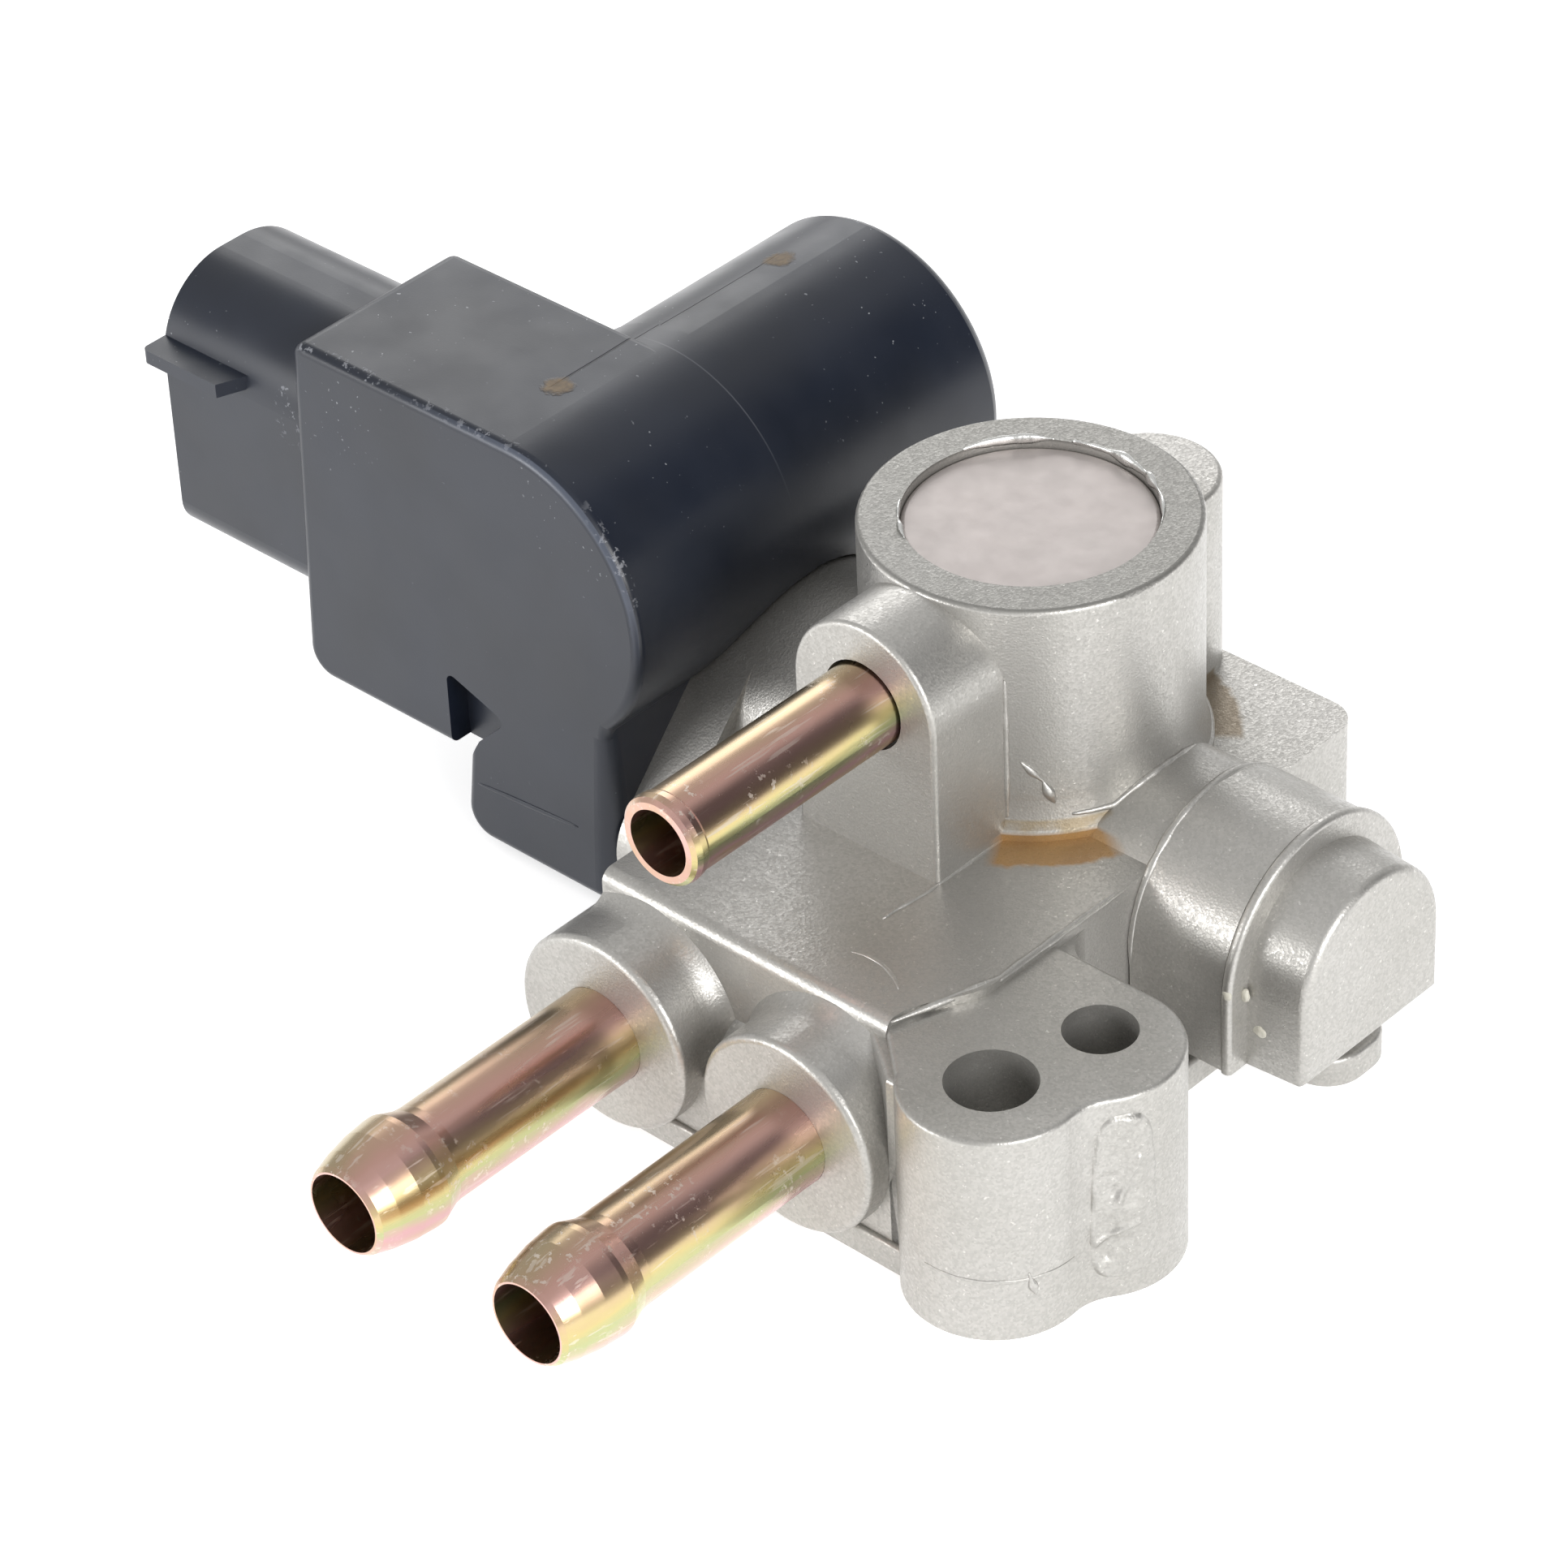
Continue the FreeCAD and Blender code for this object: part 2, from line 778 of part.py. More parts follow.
def body_hollows():
    """Everything that is bored out of the casting."""
    air_step_y = arch_front_y + air_hole_mouth_depth
    coolant_hole_radius = coolant_pipe_radius + press_clearance
    tools = [
        x_cylinder(chamber_radius, interface_x - 1, chamber_end_x, barrel_y, barrel_z),
        x_cylinder(end_bore_radius, chamber_end_x - 1, end_bore_end_x, barrel_y, barrel_z),
        z_cylinder(plug_radius + press_clearance, plug_seat_z, boss_top_z + 1, boss_x, barrel_y),
        z_cylinder(boss_well_radius, boss_well_floor_z, plug_seat_z + 1, boss_x, barrel_y),
        z_cylinder(boss_throat_radius, barrel_z, boss_well_floor_z + 1, boss_x, barrel_y),
        y_cylinder(air_hole_radius, arch_front_y - 1, air_step_y, boss_x, air_pipe_z),
        y_cylinder(air_pipe_radius + press_clearance, arch_front_y, barrel_y, boss_x, air_pipe_z),
        z_cylinder(outlet_radius, -1, barrel_z, outlet_x, barrel_y),
        z_cylinder(main_hole_radius, -1, lug_height + 1, 0, 0),
        z_cylinder(small_hole_radius, -1, lug_height + 1, small_hole_x, small_hole_y),
        z_cylinder(small_hole_radius, -1, block_height + 1, rear_lug_x, rear_lug_y),
        x_cylinder(gallery_radius, block_left_x - 1, coolant_right_x, gallery_y, coolant_z),
        x_cylinder(
            gallery_plug_radius + press_clearance,
            block_left_x - 1,
            block_left_x + gallery_plug_length,
            gallery_y,
            coolant_z,
        ),
        base_groove(),
    ]
    for x in coolant_xs:
        tools.append(y_cylinder(gallery_radius, coolant_boss_face_y, gallery_y, x, coolant_z))
        tools.append(
            y_cylinder(coolant_hole_radius, coolant_boss_face_y - 1, coolant_pipe_inner_y, x, coolant_z)
        )
    for ear_y in ear_ys:
        tools.append(
            x_cylinder(
                screw_radius + press_clearance,
                interface_x - 1,
                interface_x + body_ear_thickness + 1,
                ear_y,
                ear_z,
            )
        )
    return tools


def base_groove():
    """Square groove in the mounting face for the outlet seal."""
    outer = z_cylinder(base_ring_radius + base_groove_width / 2, -1, base_groove_depth, outlet_x, barrel_y)
    inner_radius = base_ring_radius - base_groove_width / 2
    inner = z_cylinder(inner_radius, -2, base_groove_depth + 1, outlet_x, barrel_y)
    return cut(outer, inner)


def valve_body():
    solid = fuse(
        body_block(),
        front_lug(),
        corner_fill(),
        lug_back_web(),
        base_flange(),
        valve_barrel(),
        round_boss(),
        arch_block(),
        pipe_boss(coolant_left_x),
        pipe_boss(coolant_right_x),
        boss_web(),
        rear_column(),
        rear_lug(),
        actuator_neck(),
    )
    return cut(solid, *body_hollows())


# Pipes and plugs


def coolant_pipe(x):
    """Hose pipe whose barb swells from the tip and drops in a short shoulder."""
    y = coolant_pipe_end_y
    inner = coolant_pipe_radius - coolant_pipe_wall
    swell = barb_radius - barb_tip_radius
    shoulder = barb_length - barb_peak_from_end
    outline = [
        (inner, y),
        (barb_tip_radius - 0.35, y),
        (barb_tip_radius, y + 0.5),
        (barb_tip_radius + 0.45 * swell, y + 0.30 * barb_peak_from_end),
        (barb_tip_radius + 0.84 * swell, y + 0.62 * barb_peak_from_end),
        (barb_radius, y + 0.92 * barb_peak_from_end),
        (barb_radius, y + barb_peak_from_end),
        (barb_radius - 0.25, y + barb_peak_from_end + 0.22 * shoulder),
        (coolant_pipe_radius + 0.12, y + barb_peak_from_end + 0.65 * shoulder),
        (coolant_pipe_radius, y + barb_length),
        (coolant_pipe_radius, coolant_pipe_inner_y),
        (inner, coolant_pipe_inner_y),
    ]
    return revolve_y(outline, x, coolant_z)


def air_pipe():
    """Straight pipe with a rolled bead at its free end."""
    y = air_pipe_end_y
    inner = air_pipe_radius - air_pipe_wall
    outline = [
        (inner, y),
        (air_bead_radius - 0.5, y),
        (air_bead_radius - 0.12, y + 0.35),
        (air_bead_radius, y + 0.5 * air_bead_length),
        (air_bead_radius - 0.08, y + 0.85 * air_bead_length),
        (air_pipe_radius, y + air_bead_length),
        (air_pipe_radius, air_pipe_inner_y),
        (inner, air_pipe_inner_y),
    ]
    return revolve_y(outline, boss_x, air_pipe_z)


def core_plug():
    plug = z_cylinder(plug_radius, plug_seat_z, plug_top_z, boss_x, barrel_y)
    rim = edges_where(plug, lambda m, b: near(m.z, plug_top_z) and b.ZLength < 0.01)
    return plug.makeFillet(plug_edge_radius, rim)


def gallery_plug():
    """Cup-shaped plug with its open side outwards."""
    x0 = block_left_x
    x1 = block_left_x + gallery_plug_length
    outer = x_cylinder(gallery_plug_radius, x0, x1, gallery_y, coolant_z)
    hollow = x_cylinder(
        gallery_plug_radius - gallery_plug_wall, x0 - 1, x1 - gallery_plug_wall, gallery_y, coolant_z
    )
    return cut(outer, hollow)


def base_o_ring():
    section = base_ring_section / 2
    centre = V(outlet_x, barrel_y, base_groove_depth - section)
    return Part.makeTorus(base_ring_radius, section, centre, Z_DIR)


# Actuator housing


def coil_barrel():
    barrel = y_cylinder(coil_barrel_radius, housing_front_y, coil_barrel_rear_y, coil_x, coil_z)
    front = edges_where(barrel, lambda m, b: near(m.y, housing_front_y) and b.YLength < 0.01)
    barrel = barrel.makeFillet(housing_rim_round, front)
    rear = edges_where(barrel, lambda m, b: near(m.y, coil_barrel_rear_y) and b.YLength < 0.01)
    barrel = barrel.makeFillet(coil_barrel_rear_fillet, rear)
    ring = y_cylinder(coil_barrel_radius + 1, step_band_y, coil_barrel_rear_y + 1, coil_x, coil_z)
    core_radius = coil_barrel_radius - step_band_depth
    core = y_cylinder(core_radius, step_band_y, coil_barrel_rear_y + 1, coil_x, coil_z)
    saddle = ear_outline(
        interface_x, block_left_x, body_ear_radius + cover_clearance, neck_radius + cover_clearance
    )
    return cut(fuse(cut(barrel, cut(ring, core)), barrel_blend()), saddle)


def barrel_blend():
    """Concave corner between the coil barrel and the right side of the foot, let into both."""
    r = coil_barrel_blend
    inner_radius = coil_barrel_radius - coil_blend_bite
    side_x = interface_x - coil_blend_bite
    across = side_x + r - coil_x
    down = math.sqrt((inner_radius + r) ** 2 - across ** 2)
    centre = V(side_x + r, housing_front_y, coil_z - down)
    on_barrel = V(coil_x, housing_front_y, coil_z) + V(across, 0, -down) * (inner_radius / (inner_radius + r))
    on_side = V(side_x, housing_front_y, coil_z - down)
    to_middle = (on_barrel - centre) + (on_side - centre)
    to_middle.normalize()
    below = V(coil_x, housing_front_y, coil_z - down)
    outline = path(on_barrel, [centre + to_middle * r, on_side], below, on_barrel)
    solid = prism(outline, V(0, rear_ear_y - front_ear_y, 0))
    rim = edges_where(
        solid, lambda m, b: near(m.y, housing_front_y) and m.x > interface_x - r / 2 and b.ZLength > 0.1
    )
    arcs = [edge for edge in rim if isinstance(edge.Curve, Part.Circle)]
    return solid.makeFillet(housing_rim_round, arcs)


def electronics_box():
    """Flat box whose left side leans out towards its rounded lower corner."""
    outline = [
        V(coil_x, housing_front_y, box_top_z),
        V(box_left_x + box_left_lean, housing_front_y, box_top_z),
        V(box_left_x, housing_front_y, box_bottom_z),
        V(coil_x, housing_front_y, box_bottom_z),
    ]
    solid = prism(outline, V(0, box_rear_y - housing_front_y, 0))
    lower = edges_where(solid, lambda m, b: b.YLength > 10 and near(m.x, box_left_x))
    solid = solid.makeFillet(box_bottom_corner, lower)
    upper = edges_where(solid, lambda m, b: b.YLength > 10 and near(m.x, box_left_x + box_left_lean))
    solid = solid.makeFillet(box_top_corner, upper)
    rims = edges_where(
        solid,
        lambda m, b: b.YLength < 0.01
        and m.x < coil_x - 1
        and (near(m.y, housing_front_y) or near(m.y, box_rear_y)),
    )
    return solid.makeFillet(housing_rim_round, rims)


def screw_foot():
    """Lower part of the housing with the two screw ears and the room for the poles."""
    y0 = housing_front_y
    y1 = rear_ear_y + housing_ear_radius
    z0 = ear_z - housing_ear_radius
    lean = (housing_ear_left_x - foot_left_x) / (box_bottom_z - z0)
    outline = [
        V(interface_x, y0, z0),
        V(interface_x, y0, coil_z),
        V(foot_left_x + lean * (coil_z - z0), y0, coil_z),
        V(foot_left_x, y0, z0),
    ]
    solid = prism(outline, V(0, y1 - y0, 0))
    lower = edges_where(
        solid,
        lambda m, b: near(m.z, z0)
        and (near(m.y, y1) or (b.YLength > (y1 - y0) / 2 and near(m.x, foot_left_x))),
    )
    solid = solid.makeFillet(foot_corner_round, lower)
    side = edges_where(solid, lambda m, b: near(m.x, interface_x) and near(m.y, y0) and b.ZLength > 10)
    solid = solid.makeFillet(foot_side_round_low, foot_side_round_high, side)
    rim = edges_where(
        solid,
        lambda m, b: near(m.y, y0) and b.YLength < 0.01 and m.z < coil_z - 1 and m.x < interface_x - 1,
    )
    return solid.makeFillet(housing_rim_round, rim)


def connector_shroud():
    y0 = shroud_front_y
    y1 = shroud_front_y + shroud_width
    outer = rounded_profile(
        y0,
        y1,
        shroud_bottom_z,
        shroud_top_z,
        shroud_bottom_radius,
        shroud_top_radius,
        shroud_end_x,
        box_left_x + 2,
    )
    return fuse(outer, lock_rib())


def lock_rib():
    """Rib for the latch of the plug: a straight edge with a steep catch at its inner end."""
    root_y = shroud_front_y + lock_rib_root
    edge_y = shroud_front_y - lock_rib_height
    catch_x = shroud_end_x + lock_rib_length
    rib = prism(
        [
            V(shroud_end_x, root_y, lock_rib_z),
            V(shroud_end_x, edge_y, lock_rib_z),
            V(catch_x, edge_y, lock_rib_z),
            V(catch_x + lock_rib_slant, root_y, lock_rib_z),
        ],
        V(0, 0, lock_rib_thickness),
    )
    nose = edges_where(rib, lambda m, b: b.ZLength > 1 and near(m.x, shroud_end_x) and near(m.y, edge_y))
    return rib.makeFillet(lock_rib_nose, nose)


def socket_hollow():
    return rounded_profile(
        shroud_front_y + shroud_wall,
        shroud_front_y + shroud_width - shroud_wall,
        shroud_bottom_z + shroud_wall,
        shroud_top_z - shroud_wall,
        shroud_bottom_radius - shroud_wall,
        shroud_top_radius - shroud_wall,
        shroud_end_x - 1,
        socket_floor_x,
    )


def face_notch():
    """Pocket in the inner corner between the box and the foot, open downwards at its left."""
    y = housing_front_y - 1
    height = notch_top_z - box_bottom_z
    outline = [
        V(notch_left_x, y, box_bottom_z - 1),
        V(notch_left_x, y, notch_top_z),
        V(notch_left_x + 1.2 * notch_corner, y, notch_top_z),
        V(notch_right_x, y, notch_top_z - 0.25 * height),
        V(notch_right_x, y, notch_top_z - 0.38 * height),
        V(housing_ear_left_x + 0.2 * height, y, box_bottom_z + 0.25 * height),
        V(housing_ear_left_x - 0.1, y, box_bottom_z - 1),
    ]
    solid = prism(outline, V(0, 1 + notch_depth, 0))
    corners = edges_where(solid, lambda m, b: b.YLength > 2 and m.z > box_bottom_z)
    return solid.makeFillet(notch_corner, corners)


def pole_blank(front, grow=0.0):
    """Plate at one end of the coil with an arm that reaches towards the rotor."""
    x0 = coil_x - pole_half_width - grow
    x1 = coil_x + pole_half_width + grow
    thickness = pole_plate_thickness + grow
    inner_y = core_front_y if front else core_rear_y
    outer_y = inner_y - thickness if front else inner_y + thickness
    plate_low, plate_high = sorted((outer_y, inner_y))
    arm_low, arm_high = sorted((inner_y, barrel_y))
    plate = box(x0, x1, plate_low, plate_high, pole_arm_bottom_z - grow, pole_top_z + grow)
    arm = box(x0, x1, arm_low, arm_high, pole_arm_bottom_z - grow, pole_arm_top_z + grow)
    return fuse(plate, arm)


def rotor_cavity():
    """Stepped hollow for the magnet and, wider, for the spigot of the bearing carrier."""
    mouth = spigot_radius + spigot_clearance
    step_x = spigot_left_x - cover_clearance
    end_x = interface_x + 0.5
    return revolve_x(
        [
            (rotor_cavity_end_x, 0),
            (rotor_cavity_end_x, rotor_cavity_radius),
            (step_x, rotor_cavity_radius),
            (step_x, mouth),
            (end_x, mouth),
            (end_x, 0),
        ]
    )


def rotor_cap():
    """Domed round boss over the free end of the rotor."""
    inside_x = rotor_cavity_end_x + rotor_cap_radius
    cap = x_cylinder(rotor_cap_radius, rotor_cap_end_x, inside_x, barrel_y, barrel_z)
    rim = edges_where(cap, lambda m, b: near(m.x, rotor_cap_end_x) and b.XLength < 0.01)
    return cap.makeFillet(rotor_cap_fillet, rim)


def housing_hollows():
    gap = moulding_clearance
    tools = [
        socket_hollow(),
        face_notch(),
        y_cylinder(bobbin_flange_radius + gap, coil_front_y - gap, coil_rear_y + gap, coil_x, coil_z),
        rotor_cavity(),
        box(
            board_left_x - gap,
            board_right_x + gap,
            board_front_y - gap,
            board_rear_y + gap,
            board_bottom_z - gap,
            board_top_z + gap,
        ),
    ]
    guard = x_cylinder(pole_face_radius, rotor_cavity_end_x, interface_x, barrel_y, barrel_z)
    for front in (True, False):
        tools.append(cut(pole_blank(front, gap), guard))
    for index in range(blade_count):
        tools.append(terminal(index, gap))
    for ear_y in ear_ys:
        tools.append(x_cylinder(screw_radius + gap, foot_left_x - 1, interface_x + 1, ear_y, ear_z))
        tools.append(x_cylinder(screw_hole_radius, foot_left_x - 1, screw_seat_x, ear_y, ear_z))
    return tools


def actuator_housing():
    solid = fuse(coil_barrel(), electronics_box(), screw_foot(), rotor_cap(), connector_shroud())
    return cut(solid, *housing_hollows())


# Electric parts


def terminal(index, grow=0.0):
    middle_y = shroud_front_y + shroud_width / 2
    z = blade_middle_z + (index - (blade_count - 1) / 2) * blade_pitch
    blade = box(
        socket_floor_x - blade_reach,
        board_left_x,
        middle_y - blade_width / 2 - grow,
        middle_y + blade_width / 2 + grow,
        z - blade_thickness / 2 - grow,
        z + blade_thickness / 2 + grow,
    )
    if grow > 0:
        return blade
    tip = edges_where(blade, lambda m, b: near(m.x, socket_floor_x - blade_reach) and b.YLength > 1)
    return blade.makeChamfer(0.25, tip)


def driver_board():
    board = box(board_left_x, board_right_x, board_front_y, board_rear_y, board_bottom_z, board_top_z)
    corners = edges_where(board, lambda m, b: b.XLength > 0.9 * board_thickness)
    return board.makeFillet(1.0, corners)


def coil_bobbin():
    tube_radius = core_radius + bobbin_wall
    outline = [
        (core_radius + press_clearance, coil_front_y),
        (bobbin_flange_radius, coil_front_y),
        (bobbin_flange_radius, coil_front_y + bobbin_flange_thickness),
        (tube_radius, coil_front_y + bobbin_flange_thickness),
        (tube_radius, coil_rear_y - bobbin_flange_thickness),
        (bobbin_flange_radius, coil_rear_y - bobbin_flange_thickness),
        (bobbin_flange_radius, coil_rear_y),
        (core_radius + press_clearance, coil_rear_y),
    ]
    return revolve_y(outline, coil_x, coil_z)


def coil_winding():
    tube_radius = core_radius + bobbin_wall + press_clearance
    y0 = coil_front_y + bobbin_flange_thickness
    y1 = coil_rear_y - bobbin_flange_thickness
    outline = [(tube_radius, y0), (winding_radius, y0), (winding_radius, y1), (tube_radius, y1)]
    return revolve_y(outline, coil_x, coil_z)


def iron_core():
    return y_cylinder(core_radius, core_front_y, core_rear_y, coil_x, coil_z)


def pole(front):
    face_radius = pole_face_radius + moulding_clearance
    face = x_cylinder(face_radius, rotor_cavity_end_x, interface_x, barrel_y, barrel_z)
    return cut(pole_blank(front), face)


# Rotor and valve


def rotor_magnet():
    return revolve_x(
        [
            (magnet_left_x, hub_radius + press_clearance),
            (magnet_left_x, magnet_radius),
            (magnet_right_x, magnet_radius),
            (magnet_right_x, hub_radius + press_clearance),
        ]
    )


def rotor_hub():
    """Hub with a thin flange that seats the magnet."""
    bore = shaft_radius + press_clearance
    return revolve_x(
        [
            (hub_left_x, bore),
            (hub_left_x, magnet_radius - 1.0),
            (magnet_left_x, magnet_radius - 1.0),
            (magnet_left_x, hub_radius),
            (hub_right_x, hub_radius),
            (hub_right_x, bore),
        ]
    )


def valve_shaft():
    groove_radius = shaft_radius - ring_groove_depth
    outline = [
        (shaft_left_x, 0),
        (shaft_left_x, shaft_radius - 0.3),
        (shaft_left_x + 0.3, shaft_radius),
        (ring_left_x, shaft_radius),
        (ring_left_x, groove_radius),
        (ring_left_x + ring_thickness, groove_radius),
        (ring_left_x + ring_thickness, shaft_radius),
        (shaft_right_x - 0.3, shaft_radius),
        (shaft_right_x, shaft_radius - 0.3),
        (shaft_right_x, 0),
    ]
    return cut(revolve_x(outline), spool_pin_tool(press_clearance))


def retaining_ring():
    inner = shaft_radius - ring_groove_depth + press_clearance
    half_gap = ring_gap_degrees / 2
    return sector_x(
        inner, ring_radius, ring_left_x, ring_left_x + ring_thickness, half_gap, 360 - half_gap
    )


def spool_pin_tool(grow=0.0):
    x = spool_left_x + spool_web / 2
    return z_cylinder(
        spool_pin_radius + grow, barrel_z - spool_hub_radius, barrel_z + spool_hub_radius, x, barrel_y
    )


def valve_spool():
    """Turning sleeve: webs on the shaft, an inlet window on top and an outlet window below."""
    length_end = spool_right_x
    inner = spool_radius - spool_wall
    shell = cut(
        x_cylinder(spool_radius, spool_left_x, length_end, barrel_y, barrel_z),
        x_cylinder(inner, spool_left_x + spool_web, length_end - spool_web, barrel_y, barrel_z),
    )
    hub = x_cylinder(spool_hub_radius, spool_left_x, length_end, barrel_y, barrel_z)
    lighten = x_cylinder(
        spool_hub_radius + 1, spool_left_x + 2 * spool_web, length_end - 2 * spool_web, barrel_y, barrel_z
    )
    inlet = sector_x(
        spool_hub_radius + 1,
        spool_radius + 1,
        inlet_window_left_x,
        inlet_window_right_x,
        -window_half_angle,
        window_half_angle,
    )
    outlet = sector_x(
        spool_hub_radius + 1,
        spool_radius + 1,
        outlet_window_left_x,
        outlet_window_right_x,
        180 - window_half_angle,
        180 + window_half_angle,
    )
    finger = sector_x(
        stop_inner_radius,
        spool_radius,
        carrier_right_x + finger_end_gap,
        spool_left_x + 0.5,
        90 - finger_degrees / 2,
        90 + finger_degrees / 2,
    )
    solid = fuse(cut(shell, inlet, outlet), cut(hub, lighten), finger)
    bore = x_cylinder(
        shaft_radius + press_clearance, spool_left_x - 1, length_end + 1, barrel_y, barrel_z
    )
    return cut(solid, bore, spool_pin_tool(press_clearance))


def bearing_carrier():
    """Turned plug: spigot with its seal groove, bush seat, oil seal seat and the limit stop."""
    body = chamber_radius - press_clearance
    groove_middle = interface_x - spigot_length / 2
    g0 = groove_middle - o_ring_groove_width / 2
    g1 = groove_middle + o_ring_groove_width / 2
    outline = [
        (spigot_left_x, bush_radius + press_clearance),
        (spigot_left_x, spigot_radius),
        (g0, spigot_radius),
        (g0, spigot_radius - o_ring_groove_depth),
        (g1, spigot_radius - o_ring_groove_depth),
        (g1, spigot_radius),
        (interface_x, spigot_radius),
        (interface_x, body),
        (carrier_right_x, body),
        (carrier_right_x, seal_radius + press_clearance),
        (inner_bush_right_x, seal_radius + press_clearance),
        (inner_bush_right_x, bush_radius + press_clearance),
    ]
    turned = revolve_x(outline)
    half_free = finger_degrees / 2 + stop_clearance_degrees
    stop = sector_x(
        stop_inner_radius,
        body,
        carrier_right_x - 0.5,
        carrier_right_x + stop_length,
        90 + half_free + travel_degrees,
        90 - half_free + 360,
    )
    spring_hole = x_cylinder(
        spring_wire / 2 + moulding_clearance,
        carrier_right_x - 1.5,
        carrier_right_x + 1,
        barrel_y,
        barrel_z + spring_radius,
    )
    return cut(fuse(turned, stop), spring_hole)


def bush(x0, x1, radius):
    bore = shaft_radius + running_clearance
    chamfer = 0.3
    return revolve_x(
        [
            (x0, bore),
            (x0, radius - chamfer),
            (x0 + chamfer, radius),
            (x1 - chamfer, radius),
            (x1, radius - chamfer),
            (x1, bore),
        ]
    )


def thrust_washer():
    return revolve_x(
        [
            (washer_left_x, washer_hole_radius),
            (washer_left_x, washer_radius),
            (chamber_end_x, washer_radius),
            (chamber_end_x, washer_hole_radius),
        ]
    )


def shaft_seal():
    """Rubber ring with an inner lip that runs just clear of the shaft."""
    x0 = inner_bush_right_x
    x1 = x0 + seal_thickness
    lip = shaft_radius + running_clearance
    return revolve_x(
        [
            (x0, lip + 1.0),
            (x0, seal_radius),
            (x1, seal_radius),
            (x1, lip + 1.0),
            (x1 - 0.9, lip),
            (x1 - 0.9 - seal_lip_thickness / 2, lip),
            (x0 + 0.8, lip + 0.8),
        ]
    )


def actuator_o_ring():
    squeezed = o_ring_groove_depth + spigot_clearance - press_clearance
    section = min(o_ring_section, squeezed) / 2
    ring = spigot_radius - o_ring_groove_depth + press_clearance / 2 + section
    return torus_x(interface_x - spigot_length / 2, section, ring)


def return_spring():
    """Torsion spring beside the spool, with one end in the bearing carrier."""
    radius = spring_radius
    wire_radius = spring_wire / 2
    start_x = carrier_right_x + 0.9
    helix = Part.makeHelix(spring_pitch, spring_pitch * spring_turns, radius)
    helix.rotate(V(0, 0, 0), Y_DIR, 90)
    helix.translate(V(start_x, barrel_y, barrel_z))
    first = helix.Edges[0]
    begin = first.valueAt(first.FirstParameter)
    tangent = first.tangentAt(first.FirstParameter)
    section = Part.Wire(Part.Circle(begin, tangent, wire_radius).toShape())
    coil = Part.Wire(helix.Edges).makePipeShell([section], True, True)
    turn = math.degrees(math.atan2(begin.z - barrel_z, begin.y - barrel_y)) - 90
    coil.rotate(V(0, barrel_y, barrel_z), X_DIR, -turn)
    leg_x = carrier_right_x - 1.4
    leg = x_cylinder(wire_radius, leg_x, start_x, barrel_y, barrel_z + radius)
    knuckle = Part.makeSphere(wire_radius, V(start_x, barrel_y, barrel_z + radius))
    return fuse(coil, leg, knuckle)


def actuator_screws():
    """Two socket-head screws, one in each ear."""
    solids = []
    for ear_y in ear_ys:
        shank = x_cylinder(screw_radius, screw_seat_x, screw_tip_x, ear_y, ear_z)
        head = x_cylinder(screw_head_radius, screw_seat_x - screw_head_height, screw_seat_x, ear_y, ear_z)
        rim = edges_where(
            head, lambda m, b: near(m.x, screw_seat_x - screw_head_height) and b.XLength < 0.01
        )
        head = head.makeFillet(0.4, rim)
        reach = screw_socket_flats / math.sqrt(3)
        corners = [
            V(
                screw_seat_x - screw_head_height - 1,
                ear_y + reach * math.cos(math.radians(60 * corner)),
                ear_z + reach * math.sin(math.radians(60 * corner)),
            )
            for corner in range(6)
        ]
        socket = prism(corners, V(1 + screw_socket_depth, 0, 0))
        solids.append(cut(fuse(shank, head), socket))
    return Part.makeCompound(solids)


nodes = {
    "valve_body": valve_body(),
    "coolant_pipe_left": coolant_pipe(coolant_left_x),
    "coolant_pipe_right": coolant_pipe(coolant_right_x),
    "air_pipe": air_pipe(),
    "core_plug": core_plug(),
    "gallery_plug": gallery_plug(),
    "base_o_ring": base_o_ring(),
    "actuator_housing": actuator_housing(),
    "terminal_lower": terminal(0),
    "terminal_middle": terminal(1),
    "terminal_upper": terminal(2),
    "driver_board": driver_board(),
    "coil_bobbin": coil_bobbin(),
    "coil_winding": coil_winding(),
    "iron_core": iron_core(),
    "front_pole": pole(True),
    "rear_pole": pole(False),
    "rotor_magnet": rotor_magnet(),
    "rotor_hub": rotor_hub(),
    "valve_shaft": valve_shaft(),
    "retaining_ring": retaining_ring(),
    "valve_spool": valve_spool(),
    "spool_pin": spool_pin_tool(),
    "bearing_carrier": bearing_carrier(),
    "inner_bush": bush(spigot_left_x, inner_bush_right_x, bush_radius),
    "outer_bush": bush(outer_bush_left_x, end_bore_end_x, end_bore_radius - press_clearance),
    "thrust_washer": thrust_washer(),
    "shaft_seal": shaft_seal(),
    "actuator_o_ring": actuator_o_ring(),
    "return_spring": return_spring(),
    "actuator_screws": actuator_screws(),
}

for name, shape in nodes.items():
    shape.exportStep("parts/" + name + ".step")
    print(name, "valid" if shape.isValid() else "NOT VALID", len(shape.Solids), round(shape.Volume, 1))
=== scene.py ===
# %% [markdown]
# # An idle air control valve, dressed for its portrait
# The solid model of the valve arrives ready made: a shot-blasted casting, three plated pipes and a black
# moulded actuator. This lesson gives each piece the surface it has in life, adds the small marks that the
# casting and the moulding carry, and sets the camera where the photographer stood.

# %% Load the frame
import json
import math

import bmesh
import bpy
from mathutils import Matrix, Vector
from mathutils import noise as mathutils_noise
from mathutils.bvhtree import BVHTree
from mathutils.geometry import interpolate_bezier, intersect_point_line


